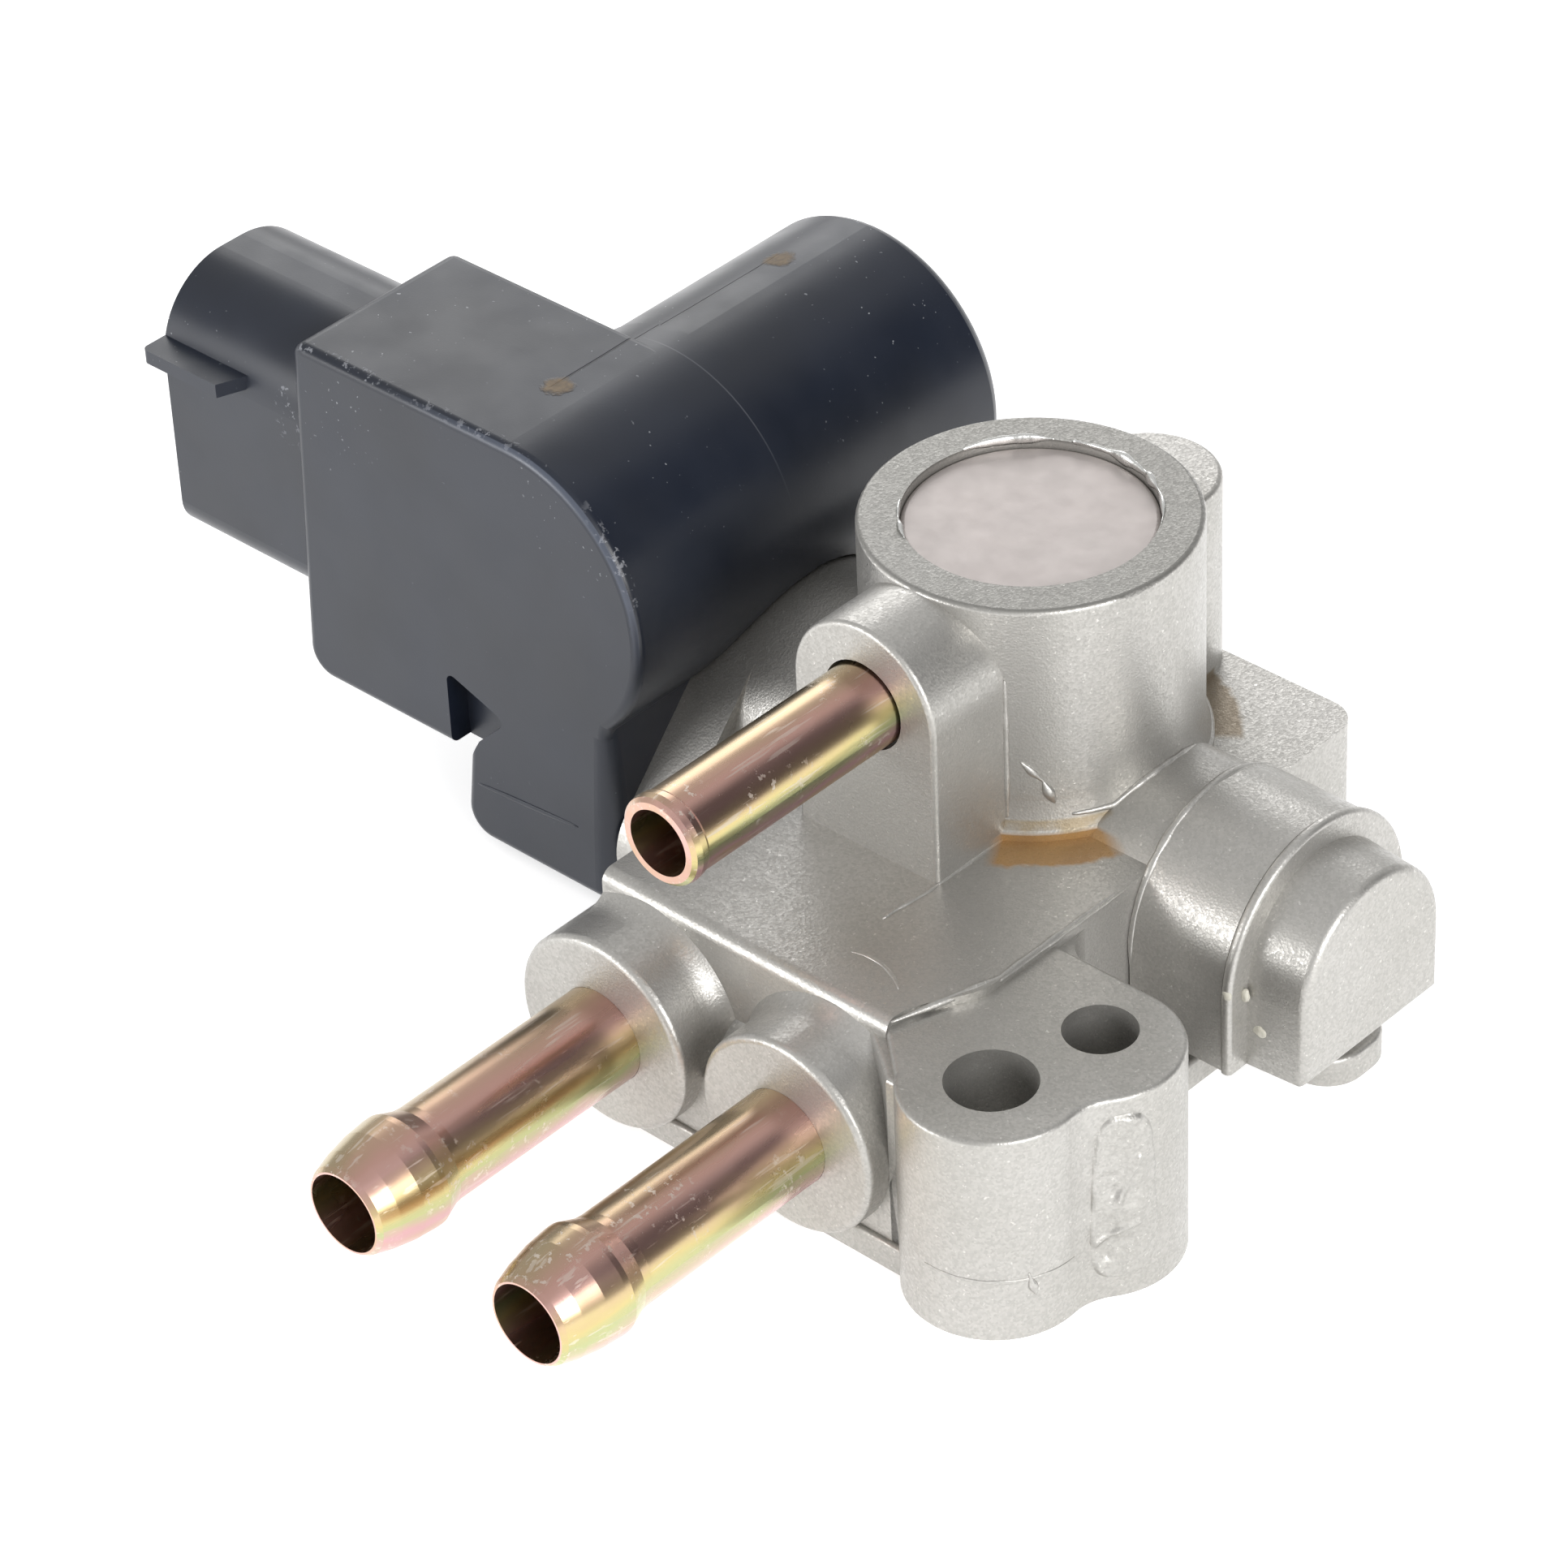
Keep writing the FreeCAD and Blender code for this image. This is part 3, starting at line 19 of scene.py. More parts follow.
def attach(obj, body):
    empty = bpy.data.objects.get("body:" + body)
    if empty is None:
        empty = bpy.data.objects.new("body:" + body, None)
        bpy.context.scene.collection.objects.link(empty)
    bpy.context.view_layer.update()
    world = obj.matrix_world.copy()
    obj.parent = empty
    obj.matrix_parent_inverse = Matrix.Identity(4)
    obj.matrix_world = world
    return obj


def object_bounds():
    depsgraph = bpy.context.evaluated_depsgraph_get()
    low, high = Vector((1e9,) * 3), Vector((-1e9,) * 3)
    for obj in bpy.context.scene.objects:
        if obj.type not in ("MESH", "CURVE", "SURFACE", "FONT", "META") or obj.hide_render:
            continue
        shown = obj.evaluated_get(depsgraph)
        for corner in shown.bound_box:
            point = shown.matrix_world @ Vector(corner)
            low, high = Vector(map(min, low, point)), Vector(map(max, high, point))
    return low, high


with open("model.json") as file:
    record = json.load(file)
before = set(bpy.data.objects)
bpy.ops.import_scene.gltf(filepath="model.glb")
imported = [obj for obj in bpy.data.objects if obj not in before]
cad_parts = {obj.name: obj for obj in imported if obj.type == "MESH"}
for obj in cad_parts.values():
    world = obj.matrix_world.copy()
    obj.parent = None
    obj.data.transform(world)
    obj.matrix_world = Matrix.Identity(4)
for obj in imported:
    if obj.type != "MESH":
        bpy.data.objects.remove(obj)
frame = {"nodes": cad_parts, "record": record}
cad_low, cad_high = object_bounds()
nodes = frame["nodes"]
print("CAD box in mm:", [round(1000 * (b - a), 1) for a, b in zip(cad_low, cad_high)])

# %% [markdown]
# ## Small tools
# Colours are written as the hex codes that a screen shows. The renderer works in linear light, so one
# function turns the first into the second. Another adds any kind of shader node in a single line. It takes
# numbers, colours, other nodes or their outputs as its inputs, so a pattern reads from the inside out. A
# texture's scale counts its cells in a metre, so it is 1000 divided by the real size in millimetres.

# %% Colour and node helpers
MM = 0.001


def linear(code):
    """Screen hex colour to linear RGBA."""
    channels = [int(code[i:i + 2], 16) / 255 for i in (1, 3, 5)]
    return [c / 12.92 if c <= 0.04045 else ((c + 0.055) / 1.055) ** 2.4 for c in channels] + [1.0]


def join(tree, value, socket):
    """Links a node or one of its outputs to a socket, or writes a plain value on the socket."""
    if isinstance(value, bpy.types.Node):
        value = next(output for output in value.outputs if output.enabled)
    if isinstance(value, bpy.types.NodeSocket):
        tree.links.new(value, socket)
    else:
        socket.default_value = value


def add(tree, kind, inputs=(), **settings):
    """Adds one node, sets its own settings, and fills its inputs by name or in their order."""
    made = tree.nodes.new("ShaderNode" + kind)
    for key, value in settings.items():
        setattr(made, key, value)
    if isinstance(inputs, dict):
        pairs = [(value, made.inputs[key]) for key, value in inputs.items()]
    else:
        pairs = zip(inputs, [socket for socket in made.inputs if socket.enabled])
    for value, socket in pairs:
        join(tree, value, socket)
    return made


def start(name):
    """An empty material with its output, its shader and the object's own coordinates."""
    material = bpy.data.materials.new(name)
    material.use_nodes = True
    tree = material.node_tree
    tree.nodes.clear()
    shader = add(tree, "BsdfPrincipled")
    add(tree, "OutputMaterial", {"Surface": shader})
    where = add(tree, "TexCoord").outputs["Object"]
    return material, tree, shader, where


def connect(tree, shader, **values):
    names = {"colour": "Base Color", "metal": "Metallic", "rough": "Roughness", "normal": "Normal"}
    for key, value in values.items():
        join(tree, value, shader.inputs[names[key]])


# %% [markdown]
# ## Shot-blasted die casting
# The blast leaves a field of tiny dents about a quarter of a millimetre across. Each dent catches the
# light a little differently, so brightness, roughness and bump all follow the same small cells.

# %% Where the casting is stained
BOSS_AXIS_MM = (-29.6, 40.2)
BOSS_RADIUS_MM = 15.9


def ring_sector(tree, where, inner_mm, outer_mm, turn_deg, half_deg, top_mm, wander):
    """One on a stretch of ring round the boss axis, below a height, with a wandering edge."""
    axis = [BOSS_AXIS_MM[0] * MM, BOSS_AXIS_MM[1] * MM, 0.0]
    offset = add(tree, "VectorMath", {0: where, 1: axis}, operation="SUBTRACT").outputs[0]
    flat = add(tree, "VectorMath", {0: offset, 1: (1.0, 1.0, 0.0)}, operation="MULTIPLY").outputs[0]
    reach = add(tree, "VectorMath", {0: flat}, operation="LENGTH").outputs["Value"]
    reach = add(tree, "Math", (wander, 1.8 * MM, reach), operation="MULTIPLY_ADD")
    unit = add(tree, "VectorMath", {0: flat}, operation="NORMALIZE").outputs[0]
    turn = math.radians(turn_deg)
    aim = (math.cos(turn), math.sin(turn), 0.0)
    facing = add(tree, "VectorMath", {0: unit, 1: aim}, operation="DOT_PRODUCT").outputs["Value"]
    edge = math.cos(math.radians(half_deg))
    inside = add(tree, "MapRange", (reach, (inner_mm + 0.5) * MM, (inner_mm + 1.1) * MM))
    inside = add(
        tree, "Math",
        (inside, add(tree, "MapRange", (reach, (outer_mm + 1.3) * MM, (outer_mm + 0.7) * MM))),
        operation="MULTIPLY",
    )
    inside = add(
        tree, "Math",
        (inside, add(tree, "MapRange", (facing, edge, edge + 0.02))),
        operation="MULTIPLY",
    )
    height = add(tree, "SeparateXYZ", {0: where}).outputs["Z"]
    above = add(tree, "MapRange", (height, (block_top_mm - 0.6) * MM, (block_top_mm - 0.4) * MM))
    below = add(tree, "MapRange", (height, (top_mm + 0.3) * MM, top_mm * MM))
    return add(
        tree, "Math",
        (inside, add(tree, "Math", (above, below), operation="MULTIPLY")),
        operation="MULTIPLY",
    )


def spots(tree, where, places, wander):
    """One near any of a few places. A place is its centre and radius in mm."""
    total = None
    for centre, radius in places:
        offset = add(tree, "VectorMath", {0: where, 1: [c * MM for c in centre]}, operation="DISTANCE")
        distance = add(tree, "Math", (wander, 1.6 * MM, offset.outputs["Value"]), operation="MULTIPLY_ADD")
        spot = add(tree, "MapRange", (distance, (radius + 1.3) * MM, (radius + 0.6) * MM))
        total = spot if total is None else add(tree, "Math", (total, spot), operation="MAXIMUM")
    return total


block_top_mm = 23.2
ledge_top_mm = 24.2
seat_rim_mm = 47.70
boss_top_mm = 48.0

# %% Cast aluminium


def cast_aluminium():
    material, tree, shader, where = start("aluminium die casting, shot-blasted")
    clouds = add(tree, "TexNoise", {"Vector": where, "Scale": 1000 / 16.0})
    colour = add(
        tree, "Mix",
        (add(tree, "MapRange", (clouds, 0.3, 0.7)), linear("#B4B2AD"), linear("#BFBDB9")),
        data_type="RGBA",
    )
    cells = add(tree, "TexVoronoi", {"Vector": where, "Scale": 1000 / 0.24})
    grain = add(tree, "SeparateColor", {0: cells.outputs["Color"]}).outputs[0]
    colour = add(
        tree, "Mix",
        (add(tree, "Math", (grain, 0.26), operation="MULTIPLY"), colour, linear("#807E7A")),
        data_type="RGBA",
    )
    wander = add(tree, "TexNoise", {"Vector": where, "Scale": 1000 / 2.4, "Detail": 3.0, "Roughness": 0.6})
    pool = ring_sector(tree, where, 16.2, 20.4, -44.0, 19.0, block_top_mm + 0.6, wander)
    film = ring_sector(tree, where, 12.6, 16.4, -33.0, 30.0, ledge_top_mm + 0.8, wander)
    streak = ring_sector(tree, where, 16.2, 19.2, 58.0, 22.0, block_top_mm + 0.6, wander)
    amber = add(
        tree, "Mix",
        (
            add(tree, "TexNoise", {"Vector": where, "Scale": 1000 / 3.0}),
            linear("#865F2B"),
            linear("#AE8547"),
        ),
        data_type="RGBA",
    )
    # Painted highlight: sparse pale spots stand for glints of light on the blasted dents, and the roughness
    # is lowered there too.
    painted_glints = add(
        tree, "MapRange",
        (add(tree, "TexNoise", {"Vector": where, "Scale": 1000 / 0.5, "Roughness": 0.6}), 0.66, 0.72),
    )
    colour = add(
        tree, "Mix",
        (add(tree, "Math", (painted_glints, 0.55), operation="MULTIPLY"), colour, linear("#E2E0DB")),
        data_type="RGBA",
    )
    seat = add(tree, "SeparateXYZ", {0: where}).outputs["Z"]
    seat = add(tree, "MapRange", (seat, seat_rim_mm * MM, (seat_rim_mm + 0.25) * MM))
    colour = add(
        tree, "Mix",
        (add(tree, "Math", (seat, 0.62), operation="MULTIPLY"), colour, linear("#74736F")),
        data_type="RGBA",
    )
    colour = add(
        tree, "Mix",
        (add(tree, "Math", (film, 0.55), operation="MULTIPLY"), colour, linear("#9C8452")),
        data_type="RGBA",
    )
    colour = add(
        tree, "Mix",
        (add(tree, "Math", (streak, 0.62), operation="MULTIPLY"), colour, linear("#75603C")),
        data_type="RGBA",
    )
    colour = add(
        tree, "Mix",
        (add(tree, "Math", (pool, 0.88), operation="MULTIPLY"), colour, amber),
        data_type="RGBA",
    )
    rough = add(tree, "MapRange", (grain, 0.0, 1.0, 0.34, 0.48))
    rough = add(tree, "Math", (painted_glints, -0.1, rough), operation="MULTIPLY_ADD")
    rough = add(tree, "Math", (pool, -0.1, rough), operation="MULTIPLY_ADD")
    dents = add(
        tree, "Bump",
        {
            "Height": cells.outputs["Distance"],
            "Distance": 0.026 * MM,
            "Strength": add(tree, "Math", (pool, -0.42, 0.55), operation="MULTIPLY_ADD"),
        },
    )
    skin = add(
        tree, "Bump",
        {
            "Height": add(tree, "TexNoise", {"Vector": where, "Scale": 1000 / 0.55}),
            "Distance": 0.02 * MM,
            "Strength": 0.35,
            "Normal": dents,
        },
    )
    metal = add(tree, "Math", (pool, -0.6, 0.78), operation="MULTIPLY_ADD")
    connect(tree, shader, colour=colour, metal=metal, rough=rough, normal=skin)
    return material


# %% [markdown]
# ## Yellow zinc plating
# Passivated zinc is not one colour: its film shifts from pink through bronze to green, stirred by noise. The
# tint also follows the direction that the surface faces, which is a painted iridescent sheen.

# %% Plated tube


def plated_steel():
    material, tree, shader, where = start("steel tube, yellow zinc plated")
    normal = add(tree, "TexCoord").outputs["Normal"]
    # Painted sheen: the tint is turned by the way the surface faces, standing in for the film's iridescence
    # from this view.
    facing_for_painted_sheen = add(tree, "VectorMath", {0: normal, 1: (0.72, 0.0, -0.69)}, operation="DOT_PRODUCT")
    stretched = add(tree, "Mapping", {"Vector": where, "Scale": (1.0, 0.22, 1.0)}).outputs[0]
    drift = add(
        tree, "TexNoise",
        {"Vector": stretched, "Scale": 1000 / 5.0, "Detail": 3.0, "Roughness": 0.6, "Distortion": 0.4},
    )
    film = add(tree, "Math", (drift, 0.8, facing_for_painted_sheen.outputs["Value"]), operation="MULTIPLY_ADD")
    film = add(tree, "MapRange", (film, -0.8, 1.6))
    ramp = add(tree, "ValToRGB", {0: film})
    stops = [(0.0, "#A89E7C"), (0.18, "#B8A084"), (0.34, "#CDA396"), (0.46, "#D9AFA6"), (0.58, "#C3A689"),
             (0.70, "#C8B983"), (0.80, "#B4B98A"), (0.90, "#D0A6AA"), (1.0, "#C6AC7C")]
    ramp.color_ramp.elements[0].position = stops[0][0]
    ramp.color_ramp.elements[0].color = linear(stops[0][1])
    ramp.color_ramp.elements[1].position = stops[-1][0]
    ramp.color_ramp.elements[1].color = linear(stops[-1][1])
    for position, code in stops[1:-1]:
        ramp.color_ramp.elements.new(position).color = linear(code)
    scratches = add(
        tree, "TexNoise",
        {
            "Vector": add(tree, "Mapping", {"Vector": where, "Scale": (1.0, 0.06, 1.0)}).outputs[0],
            "Scale": 1000 / 0.5,
        },
    )
    marks = add(tree, "MapRange", (scratches, 0.62, 0.68))
    scuffs = add(
        tree, "MapRange",
        (
            add(tree, "TexNoise", {"Vector": where, "Scale": 1000 / 0.8, "Detail": 3.0, "Roughness": 0.7}),
            0.58,
            0.63,
        ),
    )
    knocked = add(
        tree, "MapRange",
        (add(tree, "TexNoise", {"Vector": where, "Scale": 1000 / 7.0}), 0.5, 0.6),
    )
    scuffs = add(tree, "Math", (scuffs, knocked), operation="MULTIPLY")
    worn = add(
        tree, "Math",
        (
            add(tree, "Math", (marks, 0.4), operation="MULTIPLY"),
            add(tree, "Math", (scuffs, 0.65), operation="MULTIPLY"),
        ),
        operation="MAXIMUM",
    )
    colour = add(tree, "Mix", (worn, ramp.outputs[0], linear("#E4DAD0")), data_type="RGBA")
    rough = add(tree, "MapRange", (drift, 0.3, 0.7, 0.22, 0.33))
    rough = add(tree, "Math", (worn, 0.25, rough), operation="MULTIPLY_ADD")
    surface = add(
        tree, "Bump",
        {
            "Height": add(tree, "TexNoise", {"Vector": stretched, "Scale": 1000 / 1.6}),
            "Distance": 0.012 * MM,
            "Strength": 0.5,
        },
    )
    connect(tree, shader, colour=colour, metal=1.0, rough=rough, normal=surface)
    return material


# %% [markdown]
# ## Moulded nylon
# The black actuator is glass-filled nylon: a very dark blue grey with a satin skin, fine grain and a few
# pale specks where the fibres or dust show.

# %% Moulded plastics


def moulded(name, dark, light, rough_low, rough_high, specks="#8D9096", speck_share=0.35, wear_and_highlight=None):
    material, tree, shader, where = start(name)
    clouds = add(tree, "TexNoise", {"Vector": where, "Scale": 1000 / 18.0, "Detail": 3.0})
    colour = add(
        tree, "Mix",
        (add(tree, "MapRange", (clouds, 0.35, 0.65)), linear(dark), linear(light)),
        data_type="RGBA",
    )
    dots = add(
        tree, "MapRange",
        (add(tree, "TexNoise", {"Vector": where, "Scale": 1000 / 0.55, "Detail": 1.0}), 0.77, 0.81),
    )
    patches = add(
        tree, "MapRange",
        (add(tree, "TexNoise", {"Vector": where, "Scale": 1000 / 9.0}), 0.5, 0.62),
    )
    dots = add(tree, "Math", (dots, patches), operation="MULTIPLY")
    colour = add(
        tree, "Mix",
        (add(tree, "Math", (dots, speck_share), operation="MULTIPLY"), colour, linear(specks)),
        data_type="RGBA",
    )
    rough = add(
        tree, "MapRange",
        (
            add(tree, "TexNoise", {"Vector": where, "Scale": 1000 / 6.0, "Detail": 4.0}),
            0.35,
            0.65,
            rough_low,
            rough_high,
        ),
    )
    grain = add(
        tree, "Bump",
        {
            "Height": add(tree, "TexNoise", {"Vector": where, "Scale": 1000 / 0.22}),
            "Distance": 0.01 * MM,
            "Strength": 0.4,
        },
    )
    skin = add(
        tree, "Bump",
        {
            "Height": add(tree, "TexNoise", {"Vector": where, "Scale": 1000 / 4.0}),
            "Distance": 0.04 * MM,
            "Strength": 0.15,
            "Normal": grain,
        },
    )
    # The extra marks can include painted highlight as well as wear, as on the actuator's front rim.
    if wear_and_highlight:
        colour, rough, skin = wear_and_highlight(tree, where, colour, rough, skin)
    connect(tree, shader, colour=colour, metal=0.0, rough=rough, normal=skin)
    return material


# %% [markdown]
# The two halves of the mould met on the crown of the coil barrel, so a fine line runs there between two
# brown gate marks. The front rim of the box has been knocked in handling and shows pale nicks. A pale blue
# highlight is painted along the fillet of that rim.

# %% Marks on the actuator
COIL_X_MM = -76.2
COIL_TOP_MM = 49.3
GATES_MM = [(-76.1, 26.8, 49.0), (-75.7, 56.8, 49.0)]
RIM_Y_MM = 16.2
BOX_REAR_Y_MM = 38.2


def band(tree, value, low_mm, high_mm, edge_mm):
    """One between two values in mm, with soft edges."""
    rise = add(tree, "MapRange", (value, (low_mm - edge_mm) * MM, low_mm * MM))
    fall = add(tree, "MapRange", (value, (high_mm + edge_mm) * MM, high_mm * MM))
    return add(tree, "Math", (rise, fall), operation="MULTIPLY")


def housing_marks_and_highlight(tree, where, colour, rough, skin):
    place = add(tree, "SeparateXYZ", {0: where}).outputs
    sway = add(
        tree, "Math",
        (
            add(tree, "TexNoise", {"Vector": where, "Scale": 1000 / 14.0, "Detail": 1.0}),
            0.5 * MM,
            place["X"],
        ),
        operation="MULTIPLY_ADD",
    )
    line = band(tree, sway, COIL_X_MM - 0.02, COIL_X_MM + 0.06, 0.10)
    line = add(
        tree, "Math",
        (line, band(tree, place["Y"], GATES_MM[0][1], GATES_MM[1][1], 1.0)),
        operation="MULTIPLY",
    )
    line = add(
        tree, "Math",
        (line, band(tree, place["Z"], COIL_TOP_MM - 1.2, COIL_TOP_MM + 1.0, 0.2)),
        operation="MULTIPLY",
    )
    colour = add(
        tree, "Mix",
        (add(tree, "Math", (line, 0.75), operation="MULTIPLY"), colour, linear("#0C0D10")),
        data_type="RGBA",
    )
    wander = add(tree, "TexNoise", {"Vector": where, "Scale": 1000 / 1.1, "Detail": 3.0, "Roughness": 0.7})
    gates = spots(tree, where, [(centre, 1.25) for centre in GATES_MM], wander)
    resin = add(
        tree, "Mix",
        (
            add(tree, "TexNoise", {"Vector": where, "Scale": 1000 / 0.6}),
            linear("#55493D"),
            linear("#9C8768"),
        ),
        data_type="RGBA",
    )
    colour = add(
        tree, "Mix",
        (add(tree, "Math", (gates, 0.8), operation="MULTIPLY"), colour, resin),
        data_type="RGBA",
    )
    nicks = add(
        tree, "MapRange",
        (
            add(tree, "TexNoise", {"Vector": where, "Scale": 1000 / 1.0, "Detail": 3.0, "Roughness": 0.7}),
            0.56,
            0.61,
        ),
    )
    stretch = add(
        tree, "MapRange",
        (add(tree, "TexNoise", {"Vector": where, "Scale": 1000 / 11.0}), 0.42, 0.52),
    )
    rim = band(tree, place["Y"], RIM_Y_MM + 0.22, RIM_Y_MM + 1.3, 0.12)
    rim = add(
        tree, "Math",
        (rim, add(tree, "MapRange", (place["Z"], 36.0 * MM, 40.0 * MM))),
        operation="MULTIPLY",
    )
    rim = add(
        tree, "Math",
        (rim, add(tree, "MapRange", (place["X"], -105.4 * MM, -104.8 * MM))),
        operation="MULTIPLY",
    )
    rim = add(
        tree, "Math",
        (rim, add(tree, "Math", (nicks, stretch), operation="MULTIPLY")),
        operation="MULTIPLY",
    )
    colour = add(
        tree, "Mix",
        (add(tree, "Math", (rim, 0.7), operation="MULTIPLY"), colour, linear("#8E9096")),
        data_type="RGBA",
    )
    # Painted highlight: a pale blue band along the fillet of the box's front rim stands for the light that
    # the rounded edge catches.
    edge = band(tree, place["Y"], RIM_Y_MM + 0.10, RIM_Y_MM + 0.42, 0.08)
    edge = add(
        tree, "Math",
        (edge, add(tree, "MapRange", (place["Z"], 30.0 * MM, 38.0 * MM))),
        operation="MULTIPLY",
    )
    edge = add(
        tree, "Math",
        (edge, add(tree, "MapRange", (place["X"], -90.0 * MM, -72.0 * MM))),
        operation="MULTIPLY",
    )
    colour = add(
        tree, "Mix",
        (add(tree, "Math", (edge, 0.4), operation="MULTIPLY"), colour, linear("#6E7584")),
        data_type="RGBA",
    )
    dust = add(
        tree, "MapRange",
        (add(tree, "TexNoise", {"Vector": where, "Scale": 1000 / 0.5, "Detail": 1.0}), 0.75, 0.78),
    )
    settled = add(
        tree, "MapRange",
        (add(tree, "TexNoise", {"Vector": where, "Scale": 1000 / 16.0}), 0.46, 0.6),
    )
    settled = add(
        tree, "Math",
        (settled, add(tree, "MapRange", (place["Z"], 38.0 * MM, 43.0 * MM))),
        operation="MULTIPLY",
    )
    dust = add(tree, "Math", (dust, settled), operation="MULTIPLY")
    colour = add(
        tree, "Mix",
        (add(tree, "Math", (dust, 0.6), operation="MULTIPLY"), colour, linear("#B4B7BC")),
        data_type="RGBA",
    )
    rough = add(
        tree, "Math",
        (add(tree, "Math", (gates, rim), operation="MAXIMUM"), 0.25, rough),
        operation="MULTIPLY_ADD",
    )
    height = add(
        tree, "Math",
        (add(tree, "Math", (gates, 1.2), operation="MULTIPLY"), line),
        operation="SUBTRACT",
    )
    witness = band(tree, place["Y"], BOX_REAR_Y_MM, BOX_REAR_Y_MM + 0.06, 0.08)
    witness = add(
        tree, "Math",
        (witness, add(tree, "MapRange", (place["X"], -77.0 * MM, -73.0 * MM))),
        operation="MULTIPLY",
    )
    witness = add(
        tree, "Math",
        (witness, add(tree, "MapRange", (place["Z"], 38.0 * MM, 46.0 * MM))),
        operation="MULTIPLY",
    )
    colour = add(
        tree, "Mix",
        (add(tree, "Math", (witness, 0.22), operation="MULTIPLY"), colour, linear("#8A8C92")),
        data_type="RGBA",
    )
    relief = add(tree, "Bump", {"Height": height, "Distance": 0.08 * MM, "Strength": 0.8, "Normal": skin})
    return colour, rough, relief


# %% [markdown]
# ## Turned, ground and sintered metals
# The inner parts are turned or ground, so their tool marks run round the shaft. A wave texture along the
# shaft axis gives the lathe lines, and noise breaks them up. A wave texture repeats every pi / 10 of its own
# unit, so with this divisor one wave, a line and the groove beside it, is close to twice the line's width.

# %% Machined metals
WAVE_DIVISOR = 6.28


def machined(name, dark, light, rough_low, rough_high, line_mm=0.35, axis="X", depth=0.010, metal=1.0):
    material, tree, shader, where = start(name)
    wave = add(
        tree, "TexWave",
        {
            "Vector": where,
            "Scale": 1000 / line_mm / WAVE_DIVISOR,
            "Distortion": 1.5,
            "Detail": 2.0,
            "Detail Scale": 3.0,
        },
        bands_direction=axis,
    )
    clouds = add(tree, "TexNoise", {"Vector": where, "Scale": 1000 / 3.5, "Detail": 3.0})
    colour = add(
        tree, "Mix",
        (add(tree, "MapRange", (clouds, 0.3, 0.7)), linear(dark), linear(light)),
        data_type="RGBA",
    )
    colour = add(
        tree, "Mix",
        (add(tree, "Math", (wave.outputs["Fac"], 0.18), operation="MULTIPLY"), colour, linear(light)),
        data_type="RGBA",
    )
    rough = add(
        tree, "MapRange",
        (
            add(tree, "TexNoise", {"Vector": where, "Scale": 1000 / 1.2, "Detail": 3.0}),
            0.3,
            0.7,
            rough_low,
            rough_high,
        ),
    )
    lines = add(tree, "Bump", {"Height": wave.outputs["Fac"], "Distance": depth * MM, "Strength": 0.5})
    connect(tree, shader, colour=colour, metal=metal, rough=rough, normal=lines)
    return material


def pressed_disc():
    """The core plug is a matte, faintly pink disc with soft mottling from the press."""
    material, tree, shader, where = start("core plug, pressed and tumbled")
    clouds = add(tree, "TexNoise", {"Vector": where, "Scale": 1000 / 6.0, "Detail": 4.0, "Roughness": 0.6})
    colour = add(
        tree, "Mix",
        (add(tree, "MapRange", (clouds, 0.3, 0.7)), linear("#B8B1AE"), linear("#BCB4B1")),
        data_type="RGBA",
    )
    rough = add(
        tree, "MapRange",
        (
            add(tree, "TexNoise", {"Vector": where, "Scale": 1000 / 2.0, "Detail": 3.0}),
            0.3,
            0.7,
            0.46,
            0.54,
        ),
    )
    fine = add(
        tree, "Bump",
        {
            "Height": add(tree, "TexNoise", {"Vector": where, "Scale": 1000 / 0.25}),
            "Distance": 0.01 * MM,
            "Strength": 0.4,
        },
    )
    soft = add(
        tree, "Bump",
        {
            "Height": add(tree, "TexNoise", {"Vector": where, "Scale": 1000 / 9.0, "Detail": 1.0}),
            "Distance": 0.03 * MM,
            "Strength": 0.08,
            "Normal": fine,
        },
    )
    connect(tree, shader, colour=colour, metal=0.72, rough=rough, normal=soft)
    return material


def wound_wire():
    """Enamelled wire: fine turns side by side along the coil, and a lacquer gloss."""
    material, tree, shader, where = start("copper wire, enamelled and wound")
    wave = add(tree, "TexWave", {"Vector": where, "Scale": 1000 / 0.4 / WAVE_DIVISOR}, bands_direction="Y")
    colour = add(tree, "Mix", (wave.outputs["Fac"], linear("#6E2F17"), linear("#C0673A")), data_type="RGBA")
    turns = add(tree, "Bump", {"Height": wave.outputs["Fac"], "Distance": 0.12 * MM})
    rough = add(
        tree, "MapRange",
        (add(tree, "TexNoise", {"Vector": where, "Scale": 1000 / 1.0}), 0.3, 0.7, 0.25, 0.38),
    )
    connect(tree, shader, colour=colour, metal=0.85, rough=rough, normal=turns)
    return material


def circuit_board():
    """Green solder mask with faint copper tracks below it."""
    material, tree, shader, where = start("circuit board, solder mask")
    # A brick is half a unit long, so at this scale a field of the board is about 2.3 mm long.
    tracks = add(tree, "TexBrick", {"Vector": where, "Scale": 220.0, "Mortar Size": 0.03})
    colour = add(
        tree, "Mix",
        (tracks.outputs["Fac"], linear("#1F5A34"), linear("#3A7D47")),
        data_type="RGBA",
    )
    rough = add(
        tree, "MapRange",
        (add(tree, "TexNoise", {"Vector": where, "Scale": 1000 / 2.0}), 0.3, 0.7, 0.3, 0.42),
    )
    relief = add(tree, "Bump", {"Height": tracks.outputs["Fac"], "Distance": 0.03 * MM, "Strength": 0.6})
    connect(tree, shader, colour=colour, metal=0.0, rough=rough, normal=relief)
    return material


# %% [markdown]
# ## Give each node its finish
# The record names one material slot for each node. One table turns slot names into finished materials.

